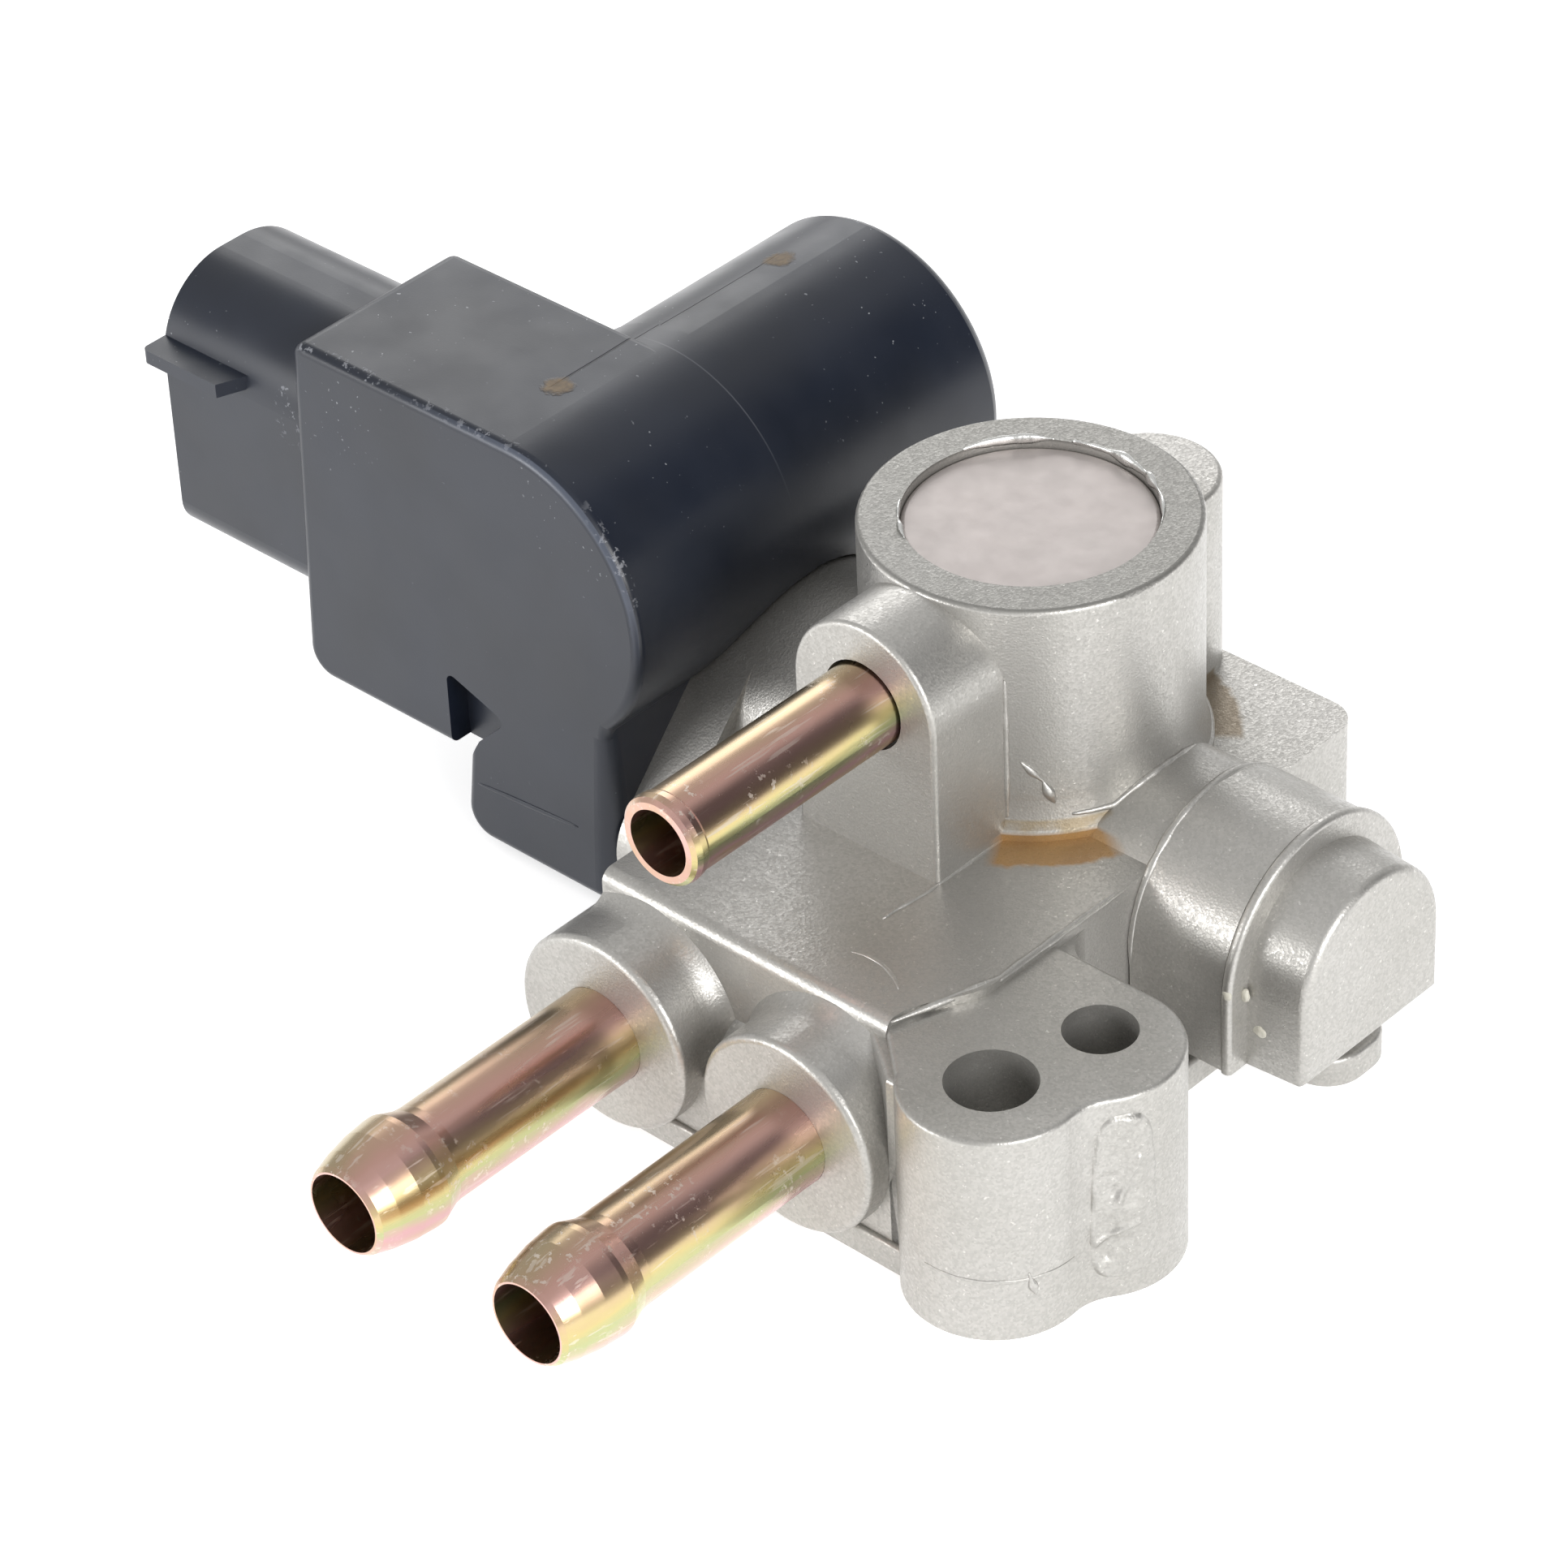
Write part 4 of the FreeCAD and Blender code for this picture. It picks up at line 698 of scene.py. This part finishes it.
# %% Assign materials
finishes = {
    "cast_aluminium": cast_aluminium(),
    "zinc_plated_steel": plated_steel(),
    "plug_alloy": pressed_disc(),
    "moulded_nylon": moulded(
        "nylon, glass-filled, moulded black", "#151A25", "#1B212E", 0.29, 0.37, wear_and_highlight=housing_marks_and_highlight
    ),
    "seal_rubber": moulded("rubber, moulded", "#161616", "#202020", 0.55, 0.7, "#3A3A3A"),
    "bobbin_nylon": moulded("nylon bobbin, natural", "#C9C3B2", "#D8D2C2", 0.4, 0.5, "#A9A08C"),
    "plain_steel": machined("steel, ground bright", "#9B9B9C", "#BEBEBF", 0.22, 0.34),
    "screw_steel": machined("steel screw, zinc plated", "#85868A", "#A9ABAF", 0.28, 0.42),
    "soft_iron": machined("iron, stamped and annealed", "#7C7C80", "#96969A", 0.4, 0.55, 0.6, "Z"),
    "sintered_magnet": machined("magnet, sintered", "#3C3D40", "#4C4D51", 0.5, 0.65, 0.5, "X", 0.006, 0.6),
    "turned_brass": machined("brass, turned", "#B38F46", "#D3B26A", 0.24, 0.36),
    "bearing_bronze": machined("bronze, sintered bush", "#8F6A3C", "#B08650", 0.4, 0.55),
    "turned_aluminium": machined("aluminium, turned", "#BDBEC0", "#D6D7D9", 0.26, 0.38),
    "tinned_brass": machined("brass strip, tinned", "#B9B39C", "#D2CDB8", 0.25, 0.36, 0.5, "X"),
    "copper_wire": wound_wire(),
    "circuit_board": circuit_board(),
}
for part in frame["record"]["subparts"]:
    mesh = nodes[part["node"]].data
    finish = finishes[part["material_slot"]]
    if not mesh.materials:
        mesh.materials.append(finish)
    for index in range(len(mesh.materials)):
        mesh.materials[index] = finish

# %% [markdown]
# ## Small marks of the foundry and the press
# A die casting never leaves the mould quite clean. Metal squeezed into joints stands up as thin ridges,
# flow marks freeze on flat faces, and a rough pad is left where the overflow was broken off. Each ridge is
# a row of small rings, bridged into a skin: it follows a curve, and it fades out at both ends.

# %% Helpers for marks


def add_piece(name, made, material, body="valve"):
    """Turns a finished bmesh into a smooth object that moves with a body of the valve."""
    bmesh.ops.recalc_face_normals(made, faces=made.faces)
    mesh = bpy.data.meshes.new(name)
    made.to_mesh(mesh)
    made.free()
    mesh.materials.append(material)
    for polygon in mesh.polygons:
        polygon.use_smooth = True
    piece = bpy.data.objects.new(name, mesh)
    bpy.context.scene.collection.objects.link(piece)
    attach(piece, body)
    print(name, len(mesh.polygons), "faces")
    return piece


def ridge(name, places, ups, width_mm, height_mm, material, wobble=0.35):
    """A low rounded ridge along a list of places, with the way out of the surface at each."""
    made = bmesh.new()
    last = len(places) - 1
    rings = []
    for index, (place, up) in enumerate(zip(places, ups)):
        ahead = (places[min(index + 1, last)] - places[max(index - 1, 0)]).normalized()
        side = ahead.cross(up).normalized()
        taper = 0.25 + 0.75 * math.sin(math.pi * index / last) ** 0.5
        taper *= 1 + wobble * mathutils_noise.noise(place * 1000 / 1.7)
        ring = bmesh.ops.create_circle(made, cap_ends=index in (0, last), segments=10, radius=MM)["verts"]
        turn = Matrix((side * width_mm / 2 * taper, up * height_mm * taper, ahead)).transposed().to_4x4()
        bmesh.ops.transform(made, matrix=Matrix.Translation(place) @ turn, verts=ring)
        rings.append(set(ring))
    for first, second in zip(rings, rings[1:]):
        loops = [edge for edge in made.edges if set(edge.verts) <= first or set(edge.verts) <= second]
        bmesh.ops.bridge_loops(made, edges=loops)
    return add_piece(name, made, material)


def arc_places(centre_mm, radius_mm, start_deg, end_deg, low_mm, high_mm, steps):
    """Places on a wall round an upright axis, rising evenly, and the way out at each."""
    places, ups = [], []
    for step in range(steps + 1):
        share = step / steps
        turn = math.radians(start_deg + (end_deg - start_deg) * share)
        out = Vector((math.cos(turn), math.sin(turn), 0))
        level = low_mm + (high_mm - low_mm) * share
        places.append((Vector((centre_mm[0], centre_mm[1], level)) + out * radius_mm) * MM)
        ups.append(out)
    return places, ups


def curve_places(knots_mm, steps):
    """Places along one Bezier curve through its first and last knot."""
    knots = [Vector(knot) * MM for knot in knots_mm]
    return interpolate_bezier(*knots, steps)


# %% Ridges on the casting
casting = finishes["cast_aluminium"]
upward = Vector((0, 0, 1))
lug_radius_mm = 8.5


def on_block(*spots_mm):
    """Places on the flat top of the block."""
    return [(x, y, block_top_mm) for x, y in spots_mm]


flow = curve_places(on_block((-20.8, 4.9), (-18.6, 5.9), (-16.0, 5.3), (-13.9, 3.6)), 24)
ridge("flow_mark", flow, [upward] * len(flow), 0.45, 0.14, casting)
flash = curve_places(on_block((-21.7, 10.2), (-21.9, 12.5), (-21.1, 14.5), (-21.2, 17.4)), 20)
ridge("arch_corner_flash", flash, [upward] * len(flash), 0.5, 0.22, casting)
places, ups = arc_places((0, 0), lug_radius_mm, -95, 10, 6.9, 6.4, 40)
ridge("lug_parting_line", places, ups, 0.40, 0.07, casting)
places, ups = arc_places((0, 0), lug_radius_mm, -28.5, -24.0, 7.3, 4.6, 14)
ridge("lug_parting_nick", places, ups, 0.95, 0.46, casting, 0.9)
places, ups = arc_places(BOSS_AXIS_MM, BOSS_RADIUS_MM, -53.5, -45.5, 31.6, 29.2, 18)
ridge("boss_wall_flash_high", places, ups, 0.85, 0.34, casting, 0.9)
places, ups = arc_places(BOSS_AXIS_MM, BOSS_RADIUS_MM, -46.5, -42.5, 29.6, 26.9, 12)
ridge("boss_wall_flash_low", places, ups, 0.75, 0.32, casting, 0.9)

# %% [markdown]
# Where two faces of the casting meet, the mould left a bright bead. On the foot of the boss it follows the
# saddle of the barrel, so its places are found by dropping rays on the casting beside the boss.

# %% Beads in the corners
body_skin = BVHTree.FromObject(nodes["valve_body"], bpy.context.evaluated_depsgraph_get())
arch_half_width_mm = 8.4
arch_side_mm = -21.2
arch_back_mm = BOSS_AXIS_MM[1] - math.sqrt(BOSS_RADIUS_MM ** 2 - arch_half_width_mm ** 2)


def bead(name, knots_mm, up, width_mm, height_mm, steps=40):
    """A bead along a broken line, with one way out for its whole length."""
    knots = [Vector(knot) * MM for knot in knots_mm]
    places = []
    for first, second in zip(knots, knots[1:]):
        share = max(2, round(steps * (second - first).length / (knots[-1] - knots[0]).length))
        places += [first.lerp(second, step / share) for step in range(share)]
    places.append(knots[-1])
    ridge(name, places, [Vector(up).normalized()] * len(places), width_mm, height_mm, casting)


arch_foot = (arch_side_mm, arch_back_mm, block_top_mm)
bead("arch_side_bead", [arch_foot, (arch_side_mm, arch_back_mm, 40.5)], (1, -1, 0), 0.7, 0.30)
bead("arch_foot_bead", [(arch_side_mm, 17.0, block_top_mm), arch_foot], (1, 0, 1), 0.5, 0.25)
block_edge = [(-8.2, 30.6, 23.0), (-8.2, 10.6, 23.0), (-11.5, -0.1, 23.0)]
bead("block_edge_bead", block_edge, (1, 0, 1), 0.8, 0.26, 60)
BEAD_STEPS = 60
beside_boss_mm = 0.15
barrel_root_mm = (-7.75, 40.2, 15.7)
barrel_root_radius_mm = 12.35
places, ups = [], []
for step in range(BEAD_STEPS + 1):
    turn = math.radians(-37 + 55 * step / BEAD_STEPS)
    out = Vector((math.cos(turn), math.sin(turn), 0))
    above = Vector((BOSS_AXIS_MM[0], BOSS_AXIS_MM[1], 45)) * MM
    above += out * (BOSS_RADIUS_MM + beside_boss_mm) * MM
    hit, normal, _, _ = body_skin.ray_cast(above, -upward)
    places.append(hit)
    ups.append((out + normal).normalized())
ridge("boss_foot_bead", places, ups, 0.7, 0.30, casting, 0.6)
places, ups = [], []
for step in range(BEAD_STEPS + 1):
    turn = math.radians(-98 + 150 * step / BEAD_STEPS)
    out = Vector((0, math.sin(turn), math.cos(turn)))
    places.append((Vector(barrel_root_mm) + out * barrel_root_radius_mm) * MM)
    ups.append(out)
ridge("barrel_root_bead", places, ups, 0.8, 0.26, casting, 0.5)

# %% [markdown]
# A web of metal joins the two pipe bosses, and another runs from the right boss to the lug. Each is an
# outline drawn from the front and pulled back, with its edges rounded.

# %% Webs beside the pipe bosses


def web(name, outline_mm, front_mm, back_mm):
    made = bmesh.new()
    corners = [made.verts.new(Vector((x, front_mm, z)) * MM) for x, z in outline_mm]
    face = made.faces.new(corners)
    pulled = bmesh.ops.extrude_face_region(made, geom=[face])["geom"]
    moved = [item for item in pulled if isinstance(item, bmesh.types.BMVert)]
    bmesh.ops.translate(made, vec=Vector((0, back_mm - front_mm, 0)) * MM, verts=moved)
    rim = [edge for edge in made.edges if abs(edge.verts[0].co.y - edge.verts[1].co.y) < 0.01 * MM]
    bmesh.ops.bevel(made, geom=rim, offset=0.45 * MM, segments=4, profile=0.5, affect="EDGES")
    flat = [face for face in made.faces if len(face.verts) > 4]
    bmesh.ops.inset_individual(made, faces=flat, thickness=0.06 * MM)
    add_piece(name, made, casting)


web(
    "boss_web_middle",
    [
        (-36.0, 2.0), (-23.0, 2.0), (-23.0, 12.2), (-26.0, 12.0), (-27.3, 11.2), (-28.4, 10.6),
        (-29.4, 10.3), (-30.4, 10.2), (-31.4, 10.3), (-32.6, 10.5), (-34.0, 10.8), (-36.0, 11.2),
    ],
    -4.9,
    -3.0,
)
web(
    "boss_web_right",
    [
        (-17.0, 2.0), (-6.2, 2.0), (-6.2, 14.6), (-7.0, 13.4), (-7.6, 11.8), (-8.2, 10.1),
        (-8.9, 8.6), (-9.7, 7.3), (-10.6, 6.2), (-12.0, 5.2), (-13.6, 4.4), (-17.0, 3.6),
    ],
    -4.9,
    -0.4,
)

# %% [markdown]
# The core plug is pressed into its seat, and the tool curls a thin lip of aluminium over its edge. The lip
# is uneven, so bright arcs show in a few places only. It is a ring of small circles whose height wanders.

# %% Lip round the plug


def smeared_aluminium():
    """Aluminium that a tool has smeared is bare and bright, with no blasted grain."""
    material, tree, shader, where = start("aluminium, smeared bright")
    colour = add(
        tree, "Mix",
        (
            add(tree, "TexNoise", {"Vector": where, "Scale": 1000 / 1.2}),
            linear("#CFCFCC"),
            linear("#E6E6E3"),
        ),
        data_type="RGBA",
    )
    rough = add(
        tree, "MapRange",
        (add(tree, "TexNoise", {"Vector": where, "Scale": 1000 / 0.5}), 0.3, 0.7, 0.16, 0.32),
    )
    skin = add(
        tree, "Bump",
        {
            "Height": add(tree, "TexNoise", {"Vector": where, "Scale": 1000 / 0.4}),
            "Distance": 0.04 * MM,
            "Strength": 0.6,
        },
    )
    connect(tree, shader, colour=colour, metal=1.0, rough=rough, normal=skin)
    return material


plug_seat_radius_mm = 12.0
bright = smeared_aluminium()
for name, start_deg, end_deg, height_mm in (
    ("plug_lip_back", 30, 112, 0.50),
    ("plug_lip_left", 120, 162, 0.45),
    ("plug_lip_front", -150, -120, 0.50),
):
    level = (boss_top_mm, boss_top_mm)
    places, _ = arc_places(BOSS_AXIS_MM, plug_seat_radius_mm, start_deg, end_deg, *level, 60)
    ridge(name, places, [upward] * len(places), 0.50, height_mm, bright, 0.9)

# %% [markdown]
# The overflow was broken off the waist of the lug and left a rough oval pad. A grid of points is thrown at
# the lug, and each lands on its skin and is lifted by the height of the pad there. The rim of the grid
# stays just under the skin, so the pad grows out of the casting. The relief is broad and low, as torn metal
# is, two folds of metal cross it, and a copy of the sheet pulled inwards closes the pad to a solid piece.

# %% Overflow pad
pad_out = Vector((0.90, -0.43, 0)).normalized()
pad_side = Vector((-pad_out.y, pad_out.x, 0))
pad_centre = Vector((10.2, 5.6, 11.4)) * MM
pad_half_width_mm = 3.2
pad_half_height_mm = 9.3
pad_depth_mm = 0.6
pad_folds_mm = (((1.2, 4.3), (-0.7, -0.2)), ((-3.0, -4.5), (2.3, -2.4)))


def fold_height(across_mm, along_mm):
    """Height in mm that the folds add at a place on the pad."""
    place = Vector((across_mm, along_mm, 0))
    total = 0.0
    for first_mm, last_mm in pad_folds_mm:
        first, last = Vector((*first_mm, 0)), Vector((*last_mm, 0))
        share = min(1, max(0, intersect_point_line(place, first, last)[1]))
        total += 0.26 * math.exp(-(((place - first.lerp(last, share)).length / 0.32) ** 2))
    return total


made = bmesh.new()
grid = bmesh.ops.create_grid(made, x_segments=40, y_segments=110, size=1)["verts"]
for vertex in grid:
    across, along = vertex.co.x, vertex.co.y
    across_mm = across * pad_half_width_mm * (1 - 0.12 * along)
    place = pad_centre + (pad_side * across_mm + upward * along * pad_half_height_mm) * MM
    hit, normal, _, _ = body_skin.ray_cast(place + pad_out * 0.02, -pad_out)
    rim = min(1, max(0, 3.2 * (1 - abs(across) ** 3 - abs(along) ** 5)))
    rough = mathutils_noise.noise(place * 1000 / 2.7) * 0.46
    rough += mathutils_noise.noise(place * 1000 / 0.8) * 0.14
    lip = 0.16 * math.exp(-((rim - 0.75) / 0.3) ** 2)
    fold = fold_height(across_mm, along * pad_half_height_mm)
    vertex.co = hit + normal * (rim * (0.44 + rough + fold) + lip * rim - 0.12) * MM
    vertex.co.x = min(vertex.co.x, cad_high[0])
pulled = bmesh.ops.extrude_face_region(made, geom=made.faces[:])["geom"]
moved = [item for item in pulled if isinstance(item, bmesh.types.BMVert)]
bmesh.ops.translate(made, vec=-pad_out * pad_depth_mm * MM, verts=moved)
add_piece("overflow_pad", made, casting)

# %% [markdown]
# Three drops of cured thread sealant sit by the collar. They are flattened spheres with a glossy skin.

# %% Sealant drops


def cured_resin():
    """Cured sealant is clear and glossy, and looks pale grey over metal."""
    material, tree, shader, where = start("acrylic sealant, cured drop")
    colour = add(
        tree, "Mix",
        (
            add(tree, "TexNoise", {"Vector": where, "Scale": 1000 / 0.7}),
            linear("#A9A596"),
            linear("#DAD7CB"),
        ),
        data_type="RGBA",
    )
    rough = add(
        tree, "MapRange",
        (add(tree, "TexNoise", {"Vector": where, "Scale": 1000 / 0.5}), 0.3, 0.7, 0.08, 0.18),
    )
    skin = add(
        tree, "Bump",
        {
            "Height": add(tree, "TexNoise", {"Vector": where, "Scale": 1000 / 0.6}),
            "Distance": 0.05 * MM,
            "Strength": 0.5,
        },
    )
    connect(tree, shader, colour=colour, metal=0.0, rough=rough, normal=skin)
    return material


resin = cured_resin()
for name, place_mm, radii_mm in (
    ("sealant_drop_low", (5.4, 30.25, 11.9), (0.75, 0.35, 0.65)),
    ("sealant_drop_mid", (4.2, 29.6, 15.8), (0.45, 0.35, 0.75)),
    ("sealant_drop_high", (3.6, 27.75, 16.6), (0.5, 0.3, 0.6)),
):
    made = bmesh.new()
    ball = bmesh.ops.create_icosphere(made, subdivisions=4, radius=MM)["verts"]
    bmesh.ops.scale(made, vec=radii_mm, verts=ball)
    for vertex in ball:
        vertex.co *= 1 + 0.18 * mathutils_noise.noise(vertex.co * 1000 / 0.5 + Vector(place_mm))
    bmesh.ops.translate(made, vec=Vector(place_mm) * MM, verts=ball)
    add_piece(name, made, resin)

# %% [markdown]
# The foot of the actuator has a soft crease where two inserts of its mould met.

# %% Crease on the foot
knots = [(x, RIM_Y_MM, z) for x, z in ((-80.2, 7.3), (-76.0, 7.7), (-71.0, 8.0), (-66.6, 8.5))]
crease = curve_places(knots, 20)
forward = Vector((0, -1, 0))
ridge("foot_crease", crease, [forward] * len(crease), 0.6, 0.10, finishes["moulded_nylon"], 0.1)

# %% [markdown]
# ## Floor and light
# The photograph was taken in a white tent. The sides and the floor are bright and the ceiling is dimmer,
# which is why the top faces of the casting look darker than its flanks.

# %% Floor


def make_floor():
    mesh = bpy.data.meshes.new("floor")
    made = bmesh.new()
    bmesh.ops.create_grid(made, x_segments=1, y_segments=1, size=4.0)
    made.to_mesh(mesh)
    made.free()
    floor = bpy.data.objects.new("floor", mesh)
    bpy.context.scene.collection.objects.link(floor)
    material = bpy.data.materials.new("paper floor, white")
    material.use_nodes = True
    tree = material.node_tree
    tree.nodes.clear()
    paper = add(tree, "BsdfDiffuse", {"Color": linear("#F2F2F2")})
    path = add(tree, "LightPath")
    power = add(tree, "Math", (path.outputs["Is Glossy Ray"], 0.18, 0.6), operation="MULTIPLY_ADD")
    glow = add(tree, "Emission", {"Color": linear("#FFFFFF"), "Strength": power})
    both = add(tree, "AddShader", (paper, glow))
    seen = add(
        tree, "Math",
        (path.outputs["Is Camera Ray"], path.outputs["Is Glossy Ray"]),
        operation="MAXIMUM",
    )
    chosen = add(tree, "MixShader", (seen, paper, both))
    add(tree, "OutputMaterial", {"Surface": chosen})
    mesh.materials.append(material)
    return floor


make_floor()

# %% World and lamps


def make_world():
    """White all round with a dark opening behind on the right, plain white to the camera."""
    world = bpy.data.worlds.new("tent")
    bpy.context.scene.world = world
    world.use_nodes = True
    tree = world.node_tree
    tree.nodes.clear()
    direction = add(tree, "TexCoord").outputs["Generated"]
    opening = (0.66, 0.60, 0.45)
    toward = add(tree, "VectorMath", {0: direction, 1: opening}, operation="DOT_PRODUCT").outputs["Value"]
    strength = add(tree, "MapRange", (toward, 0.78, 0.95, 0.7, 0.1))
    tent = add(tree, "Background", {"Color": linear("#FFFFFF"), "Strength": strength})
    plain = add(tree, "Background", {"Color": linear("#FFFFFF"), "Strength": 1.0})
    path = add(tree, "LightPath")
    chosen = add(tree, "MixShader", (path.outputs["Is Camera Ray"], tent, plain))
    add(tree, "OutputWorld", {"Surface": chosen})


def make_lamp(name, place_mm, aim_mm, size_mm, power):
    data = bpy.data.lights.new(name, "AREA")
    data.shape = "RECTANGLE"
    data.size, data.size_y = (side * MM for side in size_mm)
    data.energy = power
    lamp = bpy.data.objects.new(name, data)
    place = Vector(place_mm) * MM
    lamp.location = place
    lamp.rotation_mode = "QUATERNION"
    lamp.rotation_quaternion = (Vector(aim_mm) * MM - place).to_track_quat("-Z", "Y")
    bpy.context.scene.collection.objects.link(lamp)
    return lamp


make_world()
make_lamp("softbox right", (460, -120, 260), (-30, 20, 20), (320, 260), 2.1)
make_lamp("softbox front left", (-330, -520, 130), (-20, 20, 20), (280, 200), 1.5)
make_lamp("softbox behind left", (-520, 480, 340), (-70, 40, 40), (420, 300), 1.0)

# %% [markdown]
# ## Camera
# The camera's direction, its small roll and its distance were fitted to the photograph.

# %% Camera
view_azimuth = math.radians(44.22)
view_elevation = math.radians(36.45)
view_roll = math.radians(-2.8)
eye_mm = (273.806, -305.208, 357.892)
back = Vector((
    math.sin(view_azimuth) * math.cos(view_elevation),
    -math.cos(view_azimuth) * math.cos(view_elevation),
    math.sin(view_elevation),
))
level_right = Vector((math.cos(view_azimuth), math.sin(view_azimuth), 0))
level_up = back.cross(level_right)
right = level_right * math.cos(view_roll) + level_up * math.sin(view_roll)
up = level_up * math.cos(view_roll) - level_right * math.sin(view_roll)
sensor_mm = 36.0
focal_pixels = 7543.5
frame_pixels = 1932
camera_data = bpy.data.cameras.new("camera")
camera_data.sensor_width = sensor_mm
camera_data.lens = sensor_mm * focal_pixels / frame_pixels
camera = bpy.data.objects.new("camera", camera_data)
turned = Matrix((right, up, back)).transposed().to_4x4()
camera.matrix_world = Matrix.Translation(Vector(eye_mm) * MM) @ turned
bpy.context.scene.collection.objects.link(camera)
bpy.context.scene.camera = camera
bpy.context.scene.view_settings.view_transform = "Standard"
